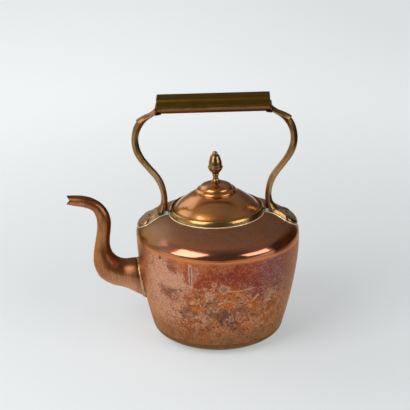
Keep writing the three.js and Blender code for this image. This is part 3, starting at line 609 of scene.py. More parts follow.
def spout_copper():
    f = Finish("spout_copper", coat=0.16, coat_roughness=0.08, coat_ior=1.7)
    blotch = f.noise(0.06, 5, 0.6, 0.4)
    streak = f.noise(1.0, 3, 0.5, 0.0, f.stretched(0.5, 0.5, 0.06))
    grain = f.noise(0.5, 5, 0.65)
    facing, up = f.facing_x, f.facing_z
    f.start(blotch.smooth(0.4, 0.62), "spout", (0.3, 0.1, 0.03))
    f.lay(streak.smooth(0.5, 0.8) * 0.4, "tan")
    f.lay(f.z.smooth(80, 56) * up.smooth(0.3, -0.5) * 0.6, "tan")
    # Painted dark reflection on the side facing the body, higher up, and on the top
    painted_dark_reflection = (facing + (grain - 0.5) * 0.6).smooth(0.1, 0.75) * f.z.smooth(62, 84)
    painted_dark_reflection = painted_dark_reflection.math("MAXIMUM", up.smooth(0.25, 0.8) * 0.7)
    f.lay(painted_dark_reflection * 0.8, (0.13, 0.042, 0.016))
    f.lay(grain.smooth(0.5, 0.72) * 0.35, (0.16, 0.07, 0.03))
    # Painted shade where the spout's root meets the wall, deeper higher up
    root = f.measure("LENGTH", f.stretched(1, 1, 0)).smooth(97, 94.6)
    f.lay(root * (0.3 + f.z.smooth(60, 85) * 0.5), (0.06, 0.03, 0.015))
    # Painted dark reflection on the top of the beak
    f.lay(f.x.smooth(-162, -170) * up.smooth(-0.1, 0.4) * 0.75, (0.09, 0.045, 0.022))
    # Painted highlight, pale yellow, inside the beak's lower jaw
    tip = f.x.smooth(-164, -170) * f.z.smooth(162, 160) * facing.smooth(0.0, 0.5)
    f.lay(tip * 0.8, (0.62, 0.55, 0.26))
    dull = facing.smooth(0.3, 0.8) * f.z.smooth(130, 105) * 0.25
    soft = f.noise(0.08, 2) + grain * 0.1
    return f.finish(0.27 + blotch * 0.16 + dull, f.bump(soft, 0.2))


def lid_copper():
    f = Finish("lid_copper", coat=0.75, coat_roughness=0.1, coat_ior=1.85)
    haze = f.noise(0.05, 4, 0.6, 0.3)
    grain = f.noise(0.5, 5, 0.65)
    f.start(haze.smooth(0.38, 0.64), "lid", (0.48, 0.185, 0.03))
    f.lay(grain.smooth(0.45, 0.75) * 0.35, (0.25, 0.1, 0.03))
    distance, chance = f.cells(0.12)
    fleck = distance.smooth(0.16, 0.06) * chance.smooth(0.75, 0.85)
    f.lay(fleck * 0.7, "smoke")
    return f.finish(0.24 + haze * 0.1, f.bump(f.noise(0.06, 2) + grain * 0.08, 0.15))


def brass_finish(name, main, second, dust_and_painted_light=False):
    f = Finish(name, coat=0.3, coat_roughness=0.06, coat_ior=1.7)
    haze = f.noise(0.12, 5, 0.6, 0.5)
    f.start(haze.smooth(0.35, 0.66), main, second)
    grime = f.noise(0.35, 4, 0.65)
    f.lay(grime.smooth(0.55, 0.75) * 0.6, (0.12, 0.065, 0.02))
    # Painted shade in the groove between the ring and the lid, round the leaning neck's axis
    straight = [f.x + (f.z - LEAN_PIVOT) * tan(LEAN), f.y]
    from_neck = f.measure("LENGTH", f.node("ShaderNodeCombineXYZ", None, straight).outputs[0])
    groove_shade = from_neck.smooth(mm.rim - 0.9, mm.rim - 1.4)
    f.lay(groove_shade * f.z.smooth(162, 158) * 0.9, (0.025, 0.018, 0.01))
    green = f.corners(2, 6) * grime.smooth(0.35, 0.55)
    f.lay(green, "verdigris")
    metal = 1 - green
    rough = (0.23 if dust_and_painted_light else 0.17) + haze * 0.14 + green * 0.4
    if dust_and_painted_light:
        # Pale dust, with a painted sky reflection, where the foot plates face up
        dust = f.facing_z.smooth(0.6, 0.95) * f.y.smooth(-15, -4) * f.z.smooth(156, 150)
        dust = dust * (0.5 + haze * 0.6)
        f.lay(dust * 0.75, (0.31, 0.28, 0.22))
        metal = metal - dust * 0.6
        rough = rough + dust * 0.3
        # Painted light: the arms are painted paler low down, above the foot plates
        painted_arm_light = f.z.smooth(215, 180) * f.z.smooth(157, 165) * (0.35 + haze * 0.4)
        f.lay(painted_arm_light, (0.5, 0.32, 0.15))
    return f.finish(rough, f.bump(f.noise(0.35, 3), 0.1), Metallic=metal)


def ring_brass():
    return brass_finish("ring_brass", "brass", (0.4, 0.2, 0.055))


def old_brass():
    return brass_finish("old_brass", "handle", (0.22, 0.105, 0.032))


def foot_brass():
    """The uprights' brass, dull with pale dust and a painted sky reflection where the foot plates
    face up, and painted paler low on the arms
    """
    return brass_finish("foot_brass", "handle", (0.22, 0.105, 0.032), dust_and_painted_light=True)


def grip_brass():
    f = Finish("grip_brass", coat=0.05, coat_roughness=0.1)
    streak = f.noise(1.0, 4, 0.6, 0.0, f.stretched(0.02, 0.4, 0.4))
    haze = f.noise(0.1, 5, 0.6)
    up = f.z * cos(LEAN) - f.x * sin(LEAN) + LEAN_PIVOT * (1 - cos(LEAN))
    up = up - (neck_height() + mm.grip_rise) + (f.noise(0.05, 3) - 0.5) * 0.8
    f.start(streak.smooth(0.35, 0.65), "grip", (0.15, 0.07, 0.014))
    f.lay(haze.smooth(0.58, 0.76) * 0.4, (0.22, 0.1, 0.03))
    # Painted light: the grip's front face is painted paler
    f.lay(f.y.smooth(-9, -11.5) * 0.8, (0.27, 0.145, 0.02))
    # Painted reflection of the copper shoulder on the grip's lower part
    f.lay(up.smooth(-1.6, -2.8) * 0.7, (0.19, 0.075, 0.035))
    # A brighter line of painted reflection along it
    wear_and_painted_reflection = (up + 2.4).math("ABSOLUTE").smooth(1.2, 0.3) * haze.smooth(0.34, 0.56)
    f.lay(wear_and_painted_reflection * 0.8, (0.4, 0.18, 0.11))
    return f.finish(0.22 + haze * 0.16, f.bump(streak, 0.1))


def tinned():
    f = Finish("tinned")
    haze = f.noise(0.15, 5, 0.6)
    f.start(haze, "tin", (0.3, 0.24, 0.16))
    return f.finish(0.35 + haze * 0.25, f.bump(f.noise(0.5, 3), 0.08))


def joint_copper():
    f = Finish("joint_copper", coat=0.1)
    haze = f.noise(0.3, 4, 0.6)
    f.start(haze.smooth(0.4, 0.65), (0.62, 0.4, 0.22), (0.36, 0.17, 0.07))
    return f.finish(0.3 + haze * 0.15, f.bump(haze, 0.1))


def solder():
    f = Finish("solder", metal=0.35, coat=0.3)
    haze = f.noise(0.3, 4, 0.6)
    f.start(haze.smooth(0.5, 0.68) * 0.7, (0.9, 0.84, 0.6), "verdigris")
    f.lay(f.corners(4, 14) * 0.8, "verdigris")
    return f.finish(0.25 + haze * 0.2, f.bump(haze, 0.1))


# Shapes


def spline(points, count):
    """Points along a smooth line through the given points, spaced as the CAD source spaces them"""
    points = np.array(points, float)
    out = []
    for t in np.linspace(0, 1, count):
        place = t * (len(points) - 1)
        i = min(int(place), len(points) - 2)
        u = place - i
        before, low, high = points[max(i - 1, 0)], points[i], points[i + 1]
        after = points[min(i + 2, len(points) - 1)]
        v0, v1 = (high - before) / 2, (after - low) / 2
        out.append(
            (2 * low - 2 * high + v0 + v1) * u**3 + (-3 * low + 3 * high - 2 * v0 - v1) * u**2
            + v0 * u + low
        )
    return np.array(out)


def table_at(values, t):
    return float(np.interp(t, np.linspace(0, 1, len(values)), values))


def turns(count):
    return np.linspace(0, 2 * pi, count, endpoint=False)


def neck_height():
    return mm.widest_height + mm.shoulder_rise


def neck_top():
    return neck_height() + mm.neck_rise


def leaned(points):
    """Leans the top of the kettle towards the spout, as the CAD source does"""
    p = np.array(points, float).reshape(-1, 3)
    t = np.clip((p[:, 2] - neck_height() + LEAN_MARGIN + LEAN_BLEND) / LEAN_BLEND, 0, 1)
    share = t * t * (3 - 2 * t)
    s, c = sin(LEAN), cos(LEAN)
    x, z = p[:, 0], p[:, 2] - LEAN_PIVOT
    lean = np.column_stack([x * c - z * s - x, 0 * x, x * s + z * c - z])
    return p + share[:, None] * lean


def wall_line(count):
    low, high = mm.foot_height, mm.widest_height
    heights = np.linspace(low, high, count)
    drop = (high - heights) / (high - low)
    return np.column_stack([mm.widest - (mm.widest - mm.foot) * drop**WALL_BULGE, heights])


def past_wall(points):
    """Which points lie outside the middle of the wall's sheet"""
    wall = wall_line(200)
    radius = np.hypot(points[:, 0], points[:, 1])
    return radius > np.interp(points[:, 2], wall[:, 1], wall[:, 0]) - mm.sheet / 2


def shoulder_line(count):
    neck, widest = mm.neck, mm.widest
    return spline([
        (neck + (widest - neck) * out, mm.widest_height + mm.shoulder_rise * up)
        for out, up in SHOULDER
    ], count)


def shoulder_at(radius):
    line = shoulder_line(300)[::-1]
    return np.interp(radius, line[:, 0], line[:, 1])


def offset(line, distance):
    """Moves an outline sideways, to the left of its direction of travel"""
    line = np.array(line, float)
    along = np.gradient(line, axis=0)
    along /= np.maximum(np.linalg.norm(along, axis=1), 1e-9)[:, None]
    return line + np.column_stack([-along[:, 1], along[:, 0]]) * distance


def lathe(outline, segments=ROUND):
    """Turns a closed outline about the upright axis"""
    radii, heights = np.array(outline, float).T
    return loft([
        np.column_stack([radii * cos(t), radii * sin(t), heights])
        for t in [*turns(segments), 0.0]
    ], closed_ends=False)


def loft(loops, closed_ends=True):
    """Joins loops of equally many points: points and quads"""
    points = np.vstack(loops)
    n = len(loops[0])
    faces = []
    for k in range(len(loops) - 1):
        for i in range(n):
            j = (i + 1) % n
            faces.append((k * n + i, k * n + j, (k + 1) * n + j, (k + 1) * n + i))
    if closed_ends:
        faces.append(tuple(range(n))[::-1])
        faces.append(tuple(range((len(loops) - 1) * n, len(loops) * n)))
    return points, faces


def section(inner, outer, half_width, growth, squareness, sides):
    """A loop round a section that spans two points of the XZ plane"""
    centre, across = (inner + outer) / 2, outer - inner
    span = np.linalg.norm(across)
    power = 2 / squareness
    c, s = (np.sign(v) * np.abs(v) ** power for v in (np.cos(turns(sides)), np.sin(turns(sides))))
    reach = (span / 2 + growth) * c / span
    return np.column_stack([
        centre[0] + across[0] * reach, (half_width + growth) * s, centre[1] + across[1] * reach,
    ])


def across_x(x, loop):
    """Stands a flat loop up at a place along the grip"""
    middle = neck_height() + mm.grip_rise
    return np.column_stack([np.full(len(loop), x), loop[:, 0], middle + loop[:, 1]])


def joined(*shapes):
    points, faces, start = [], [], 0
    for p, f in shapes:
        points.append(np.array(p, float).reshape(-1, 3))
        faces += [tuple(start + i for i in face) for face in f]
        start += len(points[-1])
    return np.vstack(points), faces


def linked(name, data):
    thing = bpy.data.objects.new(name, data)
    bpy.context.scene.collection.objects.link(thing)
    return thing


def smooth(mesh, crease):
    mesh.polygons.foreach_set("use_smooth", [True] * len(mesh.polygons))
    mesh.set_sharp_from_angle(angle=radians(crease))


def piece(name, shape, make, replaced=(), body="kettle", lean=True, crease=35.0):
    """Makes one mesh object from points in millimetres, and rides it on a body"""
    points, faces = shape
    points = leaned(points) if lean else np.array(points, float)
    mesh = bpy.data.meshes.new(name)
    mesh.from_pydata([tuple(p * MM) for p in points], [], faces)
    mesh.validate()
    tidy = bmesh.new()
    tidy.from_mesh(mesh)
    bmesh.ops.remove_doubles(tidy, verts=tidy.verts, dist=1e-7)
    bmesh.ops.recalc_face_normals(tidy, faces=tidy.faces)
    tidy.to_mesh(mesh)
    tidy.free()
    smooth(mesh, crease)
    mesh.materials.append(finish_of(make))
    thing = linked(name, mesh)
    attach(thing, body)
    if replaced:
        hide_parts(*replaced)
    return thing


def cut(thing, cutter):
    """Cuts one object out of another, and removes the cutter"""
    modifier = thing.modifiers.new("cut", "BOOLEAN")
    modifier.operation, modifier.object, modifier.solver = "DIFFERENCE", cutter, "EXACT"
    graph = bpy.context.evaluated_depsgraph_get()
    made = bpy.data.meshes.new_from_object(thing.evaluated_get(graph))
    thing.modifiers.clear()
    whole, thing.data = thing.data, made
    bpy.data.meshes.remove(whole)
    bpy.data.objects.remove(cutter)


def uneven(points, depth, scale):
    """Presses shallow, soft hammer marks into a surface of revolution"""
    out = np.array(points, float)
    for p in out:
        n = noise.noise(Vector(p) * scale) * 0.5 + 0.5
        p[:2] *= 1 - depth * n / max(hypot(p[0], p[1]), 1)
    return out


class KettleOperator:
    bl_options = {"REGISTER", "UNDO"}

    def execute(self, context):
        self.make()
        return {"FINISHED"}


class KETTLE_OT_body(KettleOperator, bpy.types.Operator):
    """Makes the body's wall, shoulder and neck"""

    bl_idname = "kettle.body"
    bl_label = "Body"

    def make(self):
        outer = [*wall_line(60)[:-1], *shoulder_line(70)]
        outer += [(mm.neck, neck_height() + mm.neck_curl), (mm.neck, neck_top())]
        inner = offset(outer, mm.sheet)[::-1]
        inner[-1][1] = mm.foot_height
        inner[0] = (mm.neck - mm.sheet, neck_top())
        points, faces = lathe([*outer, *inner])
        points = leaned(uneven(points, HAMMER_DEPTH, HAMMER_SCALE))
        # Holds the widest part back inside the CAD's box, on the side away from the lean
        above = points[:, 2] - mm.widest_height + HOLD_DROP
        held = HOLD_SHARE * np.clip(1 - np.abs(above) / HOLD_SPAN, 0, 1)
        points[:, 0] *= np.where(points[:, 0] > 0, 1 - held, 1)
        piece("body", (points, faces), body_copper, ["body_shell"], lean=False)


class KETTLE_OT_base(KettleOperator, bpy.types.Operator):
    """Makes the base with its rounded corner"""

    bl_idname = "kettle.base"
    bl_label = "Base"

    def make(self):
        flat, foot, top = mm.flat, mm.foot, mm.foot_height
        corner = [(flat + (foot - flat) * a, top * b) for a, b in [(0, 0), *BASE_CORNER, (1, 1)]]
        outer = [(0.0, 0.0), (flat * 0.5, 0.0), (flat - 2, 0.0), *spline(corner, 28)]
        inner = [
            (foot - BASE_SHEET, top), (foot - 6, 6.0), (flat, BASE_SHEET + 0.1), (0.0, BASE_SHEET),
        ]
        piece("base", lathe([*outer, *inner]), base_copper, ["base_pan"])


class KETTLE_OT_spout(KettleOperator, bpy.types.Operator):
    """Makes the gooseneck spout with its open beak, and the joint at its root"""

    bl_idname = "kettle.spout"
    bl_label = "Spout"

    def loops(self, growth):
        reach, top = mm.spout_reach - 0.05, mm.spout_top
        inner, outer = (
            spline([(reach * r[k], top * r[k + 1]) for r in SPOUT], SPOUT_ROWS) for k in (0, 2)
        )
        loops = []
        for k in range(SPOUT_ROWS):
            width = table_at([r[4] for r in SPOUT], k / (SPOUT_ROWS - 1))
            half = np.linalg.norm(outer[k] - inner[k]) / 2 * width
            loops.append(section(inner[k], outer[k], half, growth, 2, SPOUT_SIDES) * (-1, 1, 1))
        return np.array(loops)

    def trimmed(self, growth):
        """The tube's loops, started where each line along it passes through the wall's sheet"""
        loops = self.loops(growth)
        steps = np.arange(SPOUT_ROWS)
        root = SPOUT_ROOT_ROWS
        for i in range(SPOUT_SIDES):
            line = loops[:, i].copy()
            start = int(np.argmax(past_wall(line))) - 1
            spaced = np.where(steps < root, start + (root - start) * steps / root, steps)
            for k in range(3):
                loops[:, i, k] = np.interp(spaced, steps, line[:, k])
        return list(loops)

    def make(self):
        outside, inside = self.trimmed(0), self.trimmed(-SPOUT_SHEET)
        tube = loft([*outside, *inside[::-1], outside[0]], closed_ends=False)
        thing = piece("spout_tube", tube, spout_copper, ["spout"], lean=False)
        tip, middle = -mm.spout_reach + 0.1, mm.spout_top - BEAK_DROP
        wedge = loft([
            np.array([[tip + x, y, middle + z] for x, z in BEAK]) for y in (-BEAK_HALF, BEAK_HALF)
        ])
        cut(thing, piece("cutter", wedge, spout_copper, lean=False))
        smooth(thing.data, 35)
        self.joint()

    def joint(self):
        """The collar of copper round the spout's root, wider below than above"""
        loops = self.loops(0)
        path = []
        for i in range(SPOUT_SIDES):
            k = int(np.argmax(past_wall(loops[1:, i]))) + 1
            along, out = loops[k, i] - loops[k - 1, i], loops[k, i] - np.mean(loops[k], axis=0)
            path.append((loops[k, i], along / np.linalg.norm(along), out / np.linalg.norm(out)))
        heights = [place[2] for place, _, _ in path]
        low, high = min(heights), max(heights)
        widths = np.interp(heights, (low, high), (JOINT_LOW, JOINT_HIGH))
        rings = [
            np.array([
                place + along * width * share + out * rise
                for (place, along, out), width in zip(path, widths)
            ])
            for share, rise in JOINT
        ]
        shape = loft([*rings, rings[0]], closed_ends=False)
        piece("spout_joint", shape, joint_copper, ["spout_collar"], lean=False)


class KETTLE_OT_neck(KettleOperator, bpy.types.Operator):
    """Makes the brass ring round the neck"""

    bl_idname = "kettle.neck"
    bl_label = "Neck ring"

    def make(self):
        flange, rim, neck = mm.flange, mm.rim, mm.neck
        foot, ledge = shoulder_at(flange) + SEAT_GAP, neck_top() + LEDGE_RISE
        top, shelf = ledge + RING_RISE, neck_top() + SEAT_GAP
        bulge = flange - rim + RING_INSET
        moulding = [(flange - 0.6, foot)] + [
            (rim - RING_INSET + bulge * cos(t), foot + (top - foot) * sin(t))
            for t in np.linspace(0.0, pi / 2, 30)
        ]
        moulding += [(rim - 1.3, top - 0.1), (rim - 1.6, top - 0.5)]
        inner = [
            (rim - 1.8, ledge), (neck - 1.5, ledge), (neck - 1.5, shelf), (neck + SEAT_GAP, shelf),
            (neck + SEAT_GAP, neck_height() + 1.2),
        ]
        piece("neck_hoop", lathe([*moulding, *inner]), ring_brass, ["neck_ring"])
        wide, tall = NECK_BEAD
        bead = [
            (flange + 0.1 + wide * cos(t), foot - 0.02 + tall * sin(t))
            for t in turns(NECK_BEAD_SIDES)
        ]
        piece("neck_solder", lathe(bead), solder)


class KETTLE_OT_uprights(KettleOperator, bpy.types.Operator):
    """Makes the two swan-neck uprights with their spade feet"""

    bl_idname = "kettle.uprights"
    bl_label = "Uprights"

    def make(self):
        points, faces = joined(self.arm(), self.foot(), self.grip_end())
        edge = self.on_shoulder(self.foot_outline(), FOOT_BEAD_RISE)
        for name, side in (("left", -1), ("right", 1)):
            shape = points * (side, 1, 1), faces
            piece(f"{name}_arm", shape, foot_brass, [f"{name}_upright"], crease=40)
            line = self.solder_line(edge * (side, 1, 1))
            piece(f"{name}_solder", line, solder)

    def arm(self):
        """The swan neck, with its two ribs and the leaf that spreads above the spur"""
        low, high = neck_height(), neck_height() + mm.grip_rise
        neck_side, grip_end = mm.flange + ARM_STANDOFF, mm.grip_half + SEAT_GAP
        groups = (
            (ARM_FOOT, neck_side, mm.rivet_reach), (ARM_LOWER, neck_side, mm.reach),
            (ARM_UPPER, grip_end, mm.reach),
        )
        inner, outer = (
            spline([
                (start + (end - start) * r[k], low + (high - low) * r[k + 1])
                for rows, start, end in groups for r in rows
            ], ARM_ROWS)
            for k in (0, 2)
        )
        depths = [r[4] for r in ARM_FOOT + ARM_LOWER + ARM_UPPER]
        side = np.sin(turns(ARM_SIDES))
        rib = np.exp(-(((np.abs(side) - 1) / RIB_WIDTH) ** 2)) * np.sign(side)
        last = ARM_ROWS - 1
        leaf = round(LEAF_START * last)
        loops = []
        for k in range(ARM_ROWS):
            depth = ARM_DEPTH * table_at(depths, k / last)
            away = (outer[k] - inner[k]) / np.linalg.norm(outer[k] - inner[k])
            loop = section(inner[k], outer[k], depth, 0, ARM_SQUARENESS, ARM_SIDES)
            loop[:, 1] += rib * RIB_RISE * min(1, max(0, (k / ARM_ROWS - RIB_START) / RIB_FADE))
            if k >= leaf:
                share = 1 - (k - leaf) / (last - leaf)
                lift = np.maximum(np.cos(turns(ARM_SIDES)), 0) ** 0.5
                lift *= LEAF_RISE * share**2 + LEAF_EDGE
                loop[:, [0, 2]] += lift[:, None] * away
                loop[:, 1] *= 1 + LEAF_SPREAD * share
            loops.append(loop)
        return loft(loops)

    def foot_outline(self):
        inner, widest = mm.flange + SEAT_GAP, mm.rivet_reach + FOOT_WIDEST
        tip = mm.rivet_reach + FOOT_TIP
        side = [(inner + (widest - inner) * a, FOOT_ROOT * b) for a, b in FOOT_SIDE]
        side += [
            (widest + (tip - widest) * sin(t), FOOT_WIDTH * cos(t))
            for t in np.linspace(0, pi / 2, 7)
        ]
        half = spline(side, 60)
        half[:, 1] = np.maximum(half[:, 1], 0)
        return np.vstack([half * (1, -1), half[::-1][1:]])

    def foot(self):
        """The spade-shaped plate, with rounded edges and a raised lobe"""
        outline = self.foot_outline()
        centre = np.array([(outline[:, 0].min() + outline[:, 0].max()) / 2, 0])
        rings = [(1 - inset / FOOT_WIDTH, height) for inset, height in FOOT_EDGE]
        rings += [(rings[-1][0] * (1 - k / FOOT_RINGS), FOOT_TOP) for k in range(1, FOOT_RINGS)]
        return loft([self.on_shoulder(centre + (outline - centre) * s, h) for s, h in rings])

    def on_shoulder(self, flat, height):
        """Lays a flat outline on the shoulder, with the foot's bulge and lobes on its top"""
        x, y = flat.T
        radius = np.hypot(x, y)
        rise = shoulder_at(radius + SLOPE_STEP) - shoulder_at(radius - SLOPE_STEP)
        slope = rise / (2 * SLOPE_STEP)
        scale = 1 / np.sqrt(1 + slope**2)
        inner, outer = mm.flange + BULGE_START, mm.rivet_reach - BULGE_END
        middle, half = (inner + outer) / 2, (outer - inner) / 2
        bulge = 1 - ((x - middle) / half) ** 2 - (y / BULGE_WIDTH) ** 2
        far, wide = x - inner - LOBE_PLACE[0], np.abs(y) - LOBE_PLACE[1]
        c, s = LOBE_TURN
        along, across = (far * c + wide * s) / LOBE_SIZE[0], (wide * c - far * s) / LOBE_SIZE[1]
        lobe = np.maximum(1 - along**2 - across**2, 0)
        raised = BULGE_RISE * np.maximum(bulge, 0) + LOBE_RISE * np.sqrt(lobe)
        lift = (height + (raised if height > RAISED_FROM else 0)) * scale
        out = 1 - slope * lift / radius
        return np.column_stack([x * out, y * out, shoulder_at(radius) + lift])

    def grip_end(self):
        """The plate that closes the grip's lower part, and the lip that bears it"""
        end, half = mm.grip_half + SEAT_GAP, mm.grip_tall / 2
        tall, deep, corner = mm.grip_tall, mm.grip_deep, mm.grip_corner
        plate, lip = [], []
        for x, inset in PLATE:
            loop = rounded_loop(tall - 2 * inset, deep - 2 * inset, corner)
            loop[:, 1] = np.minimum(loop[:, 1], -half + PLATE_HEIGHT - inset)
            plate.append(across_x(end + x, loop))
        tall, deep = tall + LIP_GAP, deep + LIP_GAP
        inner = rounded_loop(tall, deep, corner + LIP_GAP / 2)
        for x, thick in LIP:
            outer = rounded_loop(tall + 2 * thick, deep + 2 * thick, corner + thick)
            keep = outer[:, 1] < -half + LIP_HEIGHT
            lip.append(across_x(end + x, np.vstack([outer[keep], inner[keep][::-1]])))
        return joined(loft(plate), loft(lip))

    def solder_line(self, path):
        """A rounded line of solder along a closed path"""
        wide, tall = FOOT_BEAD
        loops = []
        for k, place in enumerate(path):
            tangent = path[(k + 1) % len(path)] - path[k - 1]
            tangent /= max(np.linalg.norm(tangent), 1e-9)
            side = np.cross(tangent, (0, 0, 1))
            side /= max(np.linalg.norm(side), 1e-9)
            up = np.cross(side, tangent)
            loops.append(np.array([
                place + side * wide * cos(t) + up * tall * sin(t) for t in turns(FOOT_BEAD_SIDES)
            ]))
        return loft([*loops, loops[0]], closed_ends=False)


def rounded_loop(tall, deep, corner, low_front=None):
    """A rounded oblong, with its own radius for the lower front corner when one is given"""
    loop = []
    corners = ((1, -1, corner), (1, 1, corner), (-1, 1, corner), (-1, -1, low_front or corner))
    for turn, (side, up, radius) in enumerate(corners, -1):
        for k in range(CORNER_STEPS + 1):
            t = radians(90 * turn + 90 * k / CORNER_STEPS)
            loop.append((
                side * (deep / 2 - radius) + radius * cos(t),
                up * (tall / 2 - radius) + radius * sin(t),
            ))
    return np.array(loop)


class KETTLE_OT_grip(KettleOperator, bpy.types.Operator):
    """Makes the hollow grip"""

    bl_idname = "kettle.grip"
    bl_label = "Grip"

    def make(self):
        half, wall = mm.grip_half, GRIP_SHEET
        tall, deep, corner = mm.grip_tall, mm.grip_deep, mm.grip_corner
        front = corner + GRIP_FRONT
        outer = rounded_loop(tall, deep, corner, front)
        inner = rounded_loop(tall - 2 * wall, deep - 2 * wall, corner - wall, front - wall)
        middle = np.linspace(-half + 2, half - 2, GRIP_ROWS)
        stations = [-half, -half + GRIP_SOFT_LENGTH, *middle, half - GRIP_SOFT_LENGTH, half]
        loops = [
            across_x(x, outer * (1 - (GRIP_SOFT if abs(x) == half else 0) / (tall / 2)))
            for x in stations
        ]
        loops += [across_x(x, inner) for x in stations[::-1]]
        shape = loft([*loops, loops[0]], closed_ends=False)
        piece("grip", shape, grip_brass, ["grip_tube"])


class KETTLE_OT_rivets(KettleOperator, bpy.types.Operator):
    """Makes the three rivets through each foot"""

    bl_idname = "kettle.rivets"
    bl_label = "Rivets"

    def make(self):
        head = [
            (RIVET_HEAD * cos(t), RIVET_SEAT + RIVET_RISE * sin(t))
            for t in np.linspace(0.0, 1.5, 10)
        ]
        points, faces = lathe([*RIVET_TAIL, *head, (0.0, RIVET_SEAT + RIVET_RISE)], RIVET_SIDES)
        spread, skew = mm.rivet_spread, mm.rivet_skew
        rows = {"front": (-spread, skew), "middle": (0, 0), "back": (spread, -skew)}
        for side_name, side in (("left", -1), ("right", 1)):
            for row_name, (across, further) in rows.items():
                reach = mm.rivet_reach + further
                radius, turn = hypot(reach, across), atan2(across, side * reach)
                at = self.on(radius, turn)
                out = self.on(radius + PROBE_STEP, turn) - at
                onward = self.on(radius, turn + PROBE_STEP / radius) - at
                normal = Vector(np.cross(out, onward)).normalized()
                rotation = Vector((0, 0, 1)).rotation_difference(normal).to_matrix()
                shape = points @ np.array(rotation).T + at, faces
                name = f"{side_name}_{row_name}"
                piece(f"rivet_head_{name}", shape, old_brass, [f"rivet_{name}"],
                      lean=False, crease=50)

    def on(self, radius, turn):
        """A point on the leaning shoulder"""
        x, y = radius * cos(turn), radius * sin(turn)
        return leaned([(x, y, float(shoulder_at(radius)))])[0]


def lid_levels():
    rim = neck_top() + LID_RISE
    bead = rim + mm.lid_cone_rise
    crown = bead + mm.bead_rise
    return rim, bead, crown, crown + mm.crown_rise


class KETTLE_OT_lid(KettleOperator, bpy.types.Operator):
    """Makes the lid's rim, cone, bead and crown, and the sleeve under it"""

    bl_idname = "kettle.lid"
    bl_label = "Lid"

    def make(self):
        rim, bead, crown, top = lid_levels()
        lid, bead_radius, crown_radius, seat = mm.lid, mm.bead, mm.crown, mm.knob_seat
        foot = lid - 1.6
        cone = [
            (bead_radius + (foot - bead_radius) * a, rim + (bead - rim) * b)
            for a, b in [(1, 0), *LID_CONE, (0, 1)]
        ]
        edge = [(lid + a, rim + b) for a, b in LID_EDGE]
        span, rise = bead_radius - crown_radius, crown - bead
        roll = [(crown_radius + a * span + b, bead + c * rise) for a, b, c in LID_BEAD]
        roll = spline([*roll, (crown_radius + 0.1 * span, crown - 0.1)], 26)
        dome = [(crown_radius * a, crown + (top - crown) * b) for a, b in LID_CROWN]
        dome = spline([(crown_radius, crown + 0.05), *dome, (seat, top)], 34)
        outer = [*edge, *spline(cone, 40), *roll[1:], *dome]
        inner = [(lid - 1.2, rim), *spline(cone, 14), *roll[2::6], *dome[::6], (seat, top)]
        inner = offset(inner, LID_SHEET)[::-1]
        inner[-1] = (lid - 1.5, rim - 1.1)
        hole = [(STUD_HOLE, top), (STUD_HOLE, top - LID_SHEET)]
        shape = lathe([*outer, *hole, *inner])
        piece("lid", shape, lid_copper, ["lid_dome"], body="lid")
        sleeve = lathe([(radius, rim - 1.4 + up) for radius, up in SLEEVE])
        piece("lid_sleeve", sleeve, tinned, ["lid_collar"], body="lid")


class KETTLE_OT_finial(KettleOperator, bpy.types.Operator):
    """Makes the turned acorn finial, and finishes its washer and nut"""

    bl_idname = "kettle.finial"
    bl_label = "Finial"

    def make(self):
        foot = lid_levels()[-1] + SEAT_GAP
        profile = [(mm.finial_cup * a, foot + mm.finial_height * b) for a, b in FINIAL]
        outline = [(0.0, foot - STUD_LENGTH), (STUD, foot - STUD_LENGTH), (STUD, foot), profile[0]]
        for start, end in ((0, 2), (1, 6), (5, 7), (6, 11), (10, 12), (11, 18), (17, 20)):
            outline += list(spline(profile[start:end], 4 * (end - start)))[1:]
        shape = lathe([*outline, (0.0, foot + mm.finial_height)], SMALL_ROUND)
        piece("acorn", shape, old_brass, ["finial"], body="lid", crease=50)
        for name in ("finial_washer", "finial_nut"):
            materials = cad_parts[name].data.materials
            materials.clear()
            materials.append(finish_of(old_brass))


# The studio


# Soft lamps: direction, distance, width and height in metres, and radiance
LAMPS = {
    "left_window": ((-0.66, -0.6, 0.6), 1.7, 1.1, 1.5, 4.1),
    "right_window": ((0.75, -0.5, 0.42), 1.7, 1.05, 0.95, 3.1),
    "back_window": ((-0.66, 0.5, 0.5), 1.9, 1.5, 1.2, 0.95),
}
LAMP_AIM = (0, 0, 0.12)
# Dark cards beside and in front, in millimetres
CARDS = {
    "side_card": [(460, -120, -1), (470, 620, -1), (470, 620, 460), (460, -120, 460)],
    "front_card": [(-1500, -560, 1), (1500, -560, 1), (1500, -4000, 1), (-1500, -4000, 1)],
}
FLOOR_REACH, FLOOR_DROP, FLOOR_CORNERS = 9000, 0.4, 64
# How much of the floor's colour the light falls on, and how much of it glows by itself
FLOOR_TONE, FLOOR_GLOW = 0.62, 0.54
# The photograph's camera: its picture, focal length and shift in pixels, its sensor in millimetres,
# its distance and height in metres, and its angles in degrees
PICTURE = 410
FOCAL_LENGTH = 1319.6
SHIFT = (-13.0, 44.4)
SENSOR = 36
DISTANCE, AIM_HEIGHT = 1.53, 0.1
ELEVATION, ROLL = 22.6, 0.12


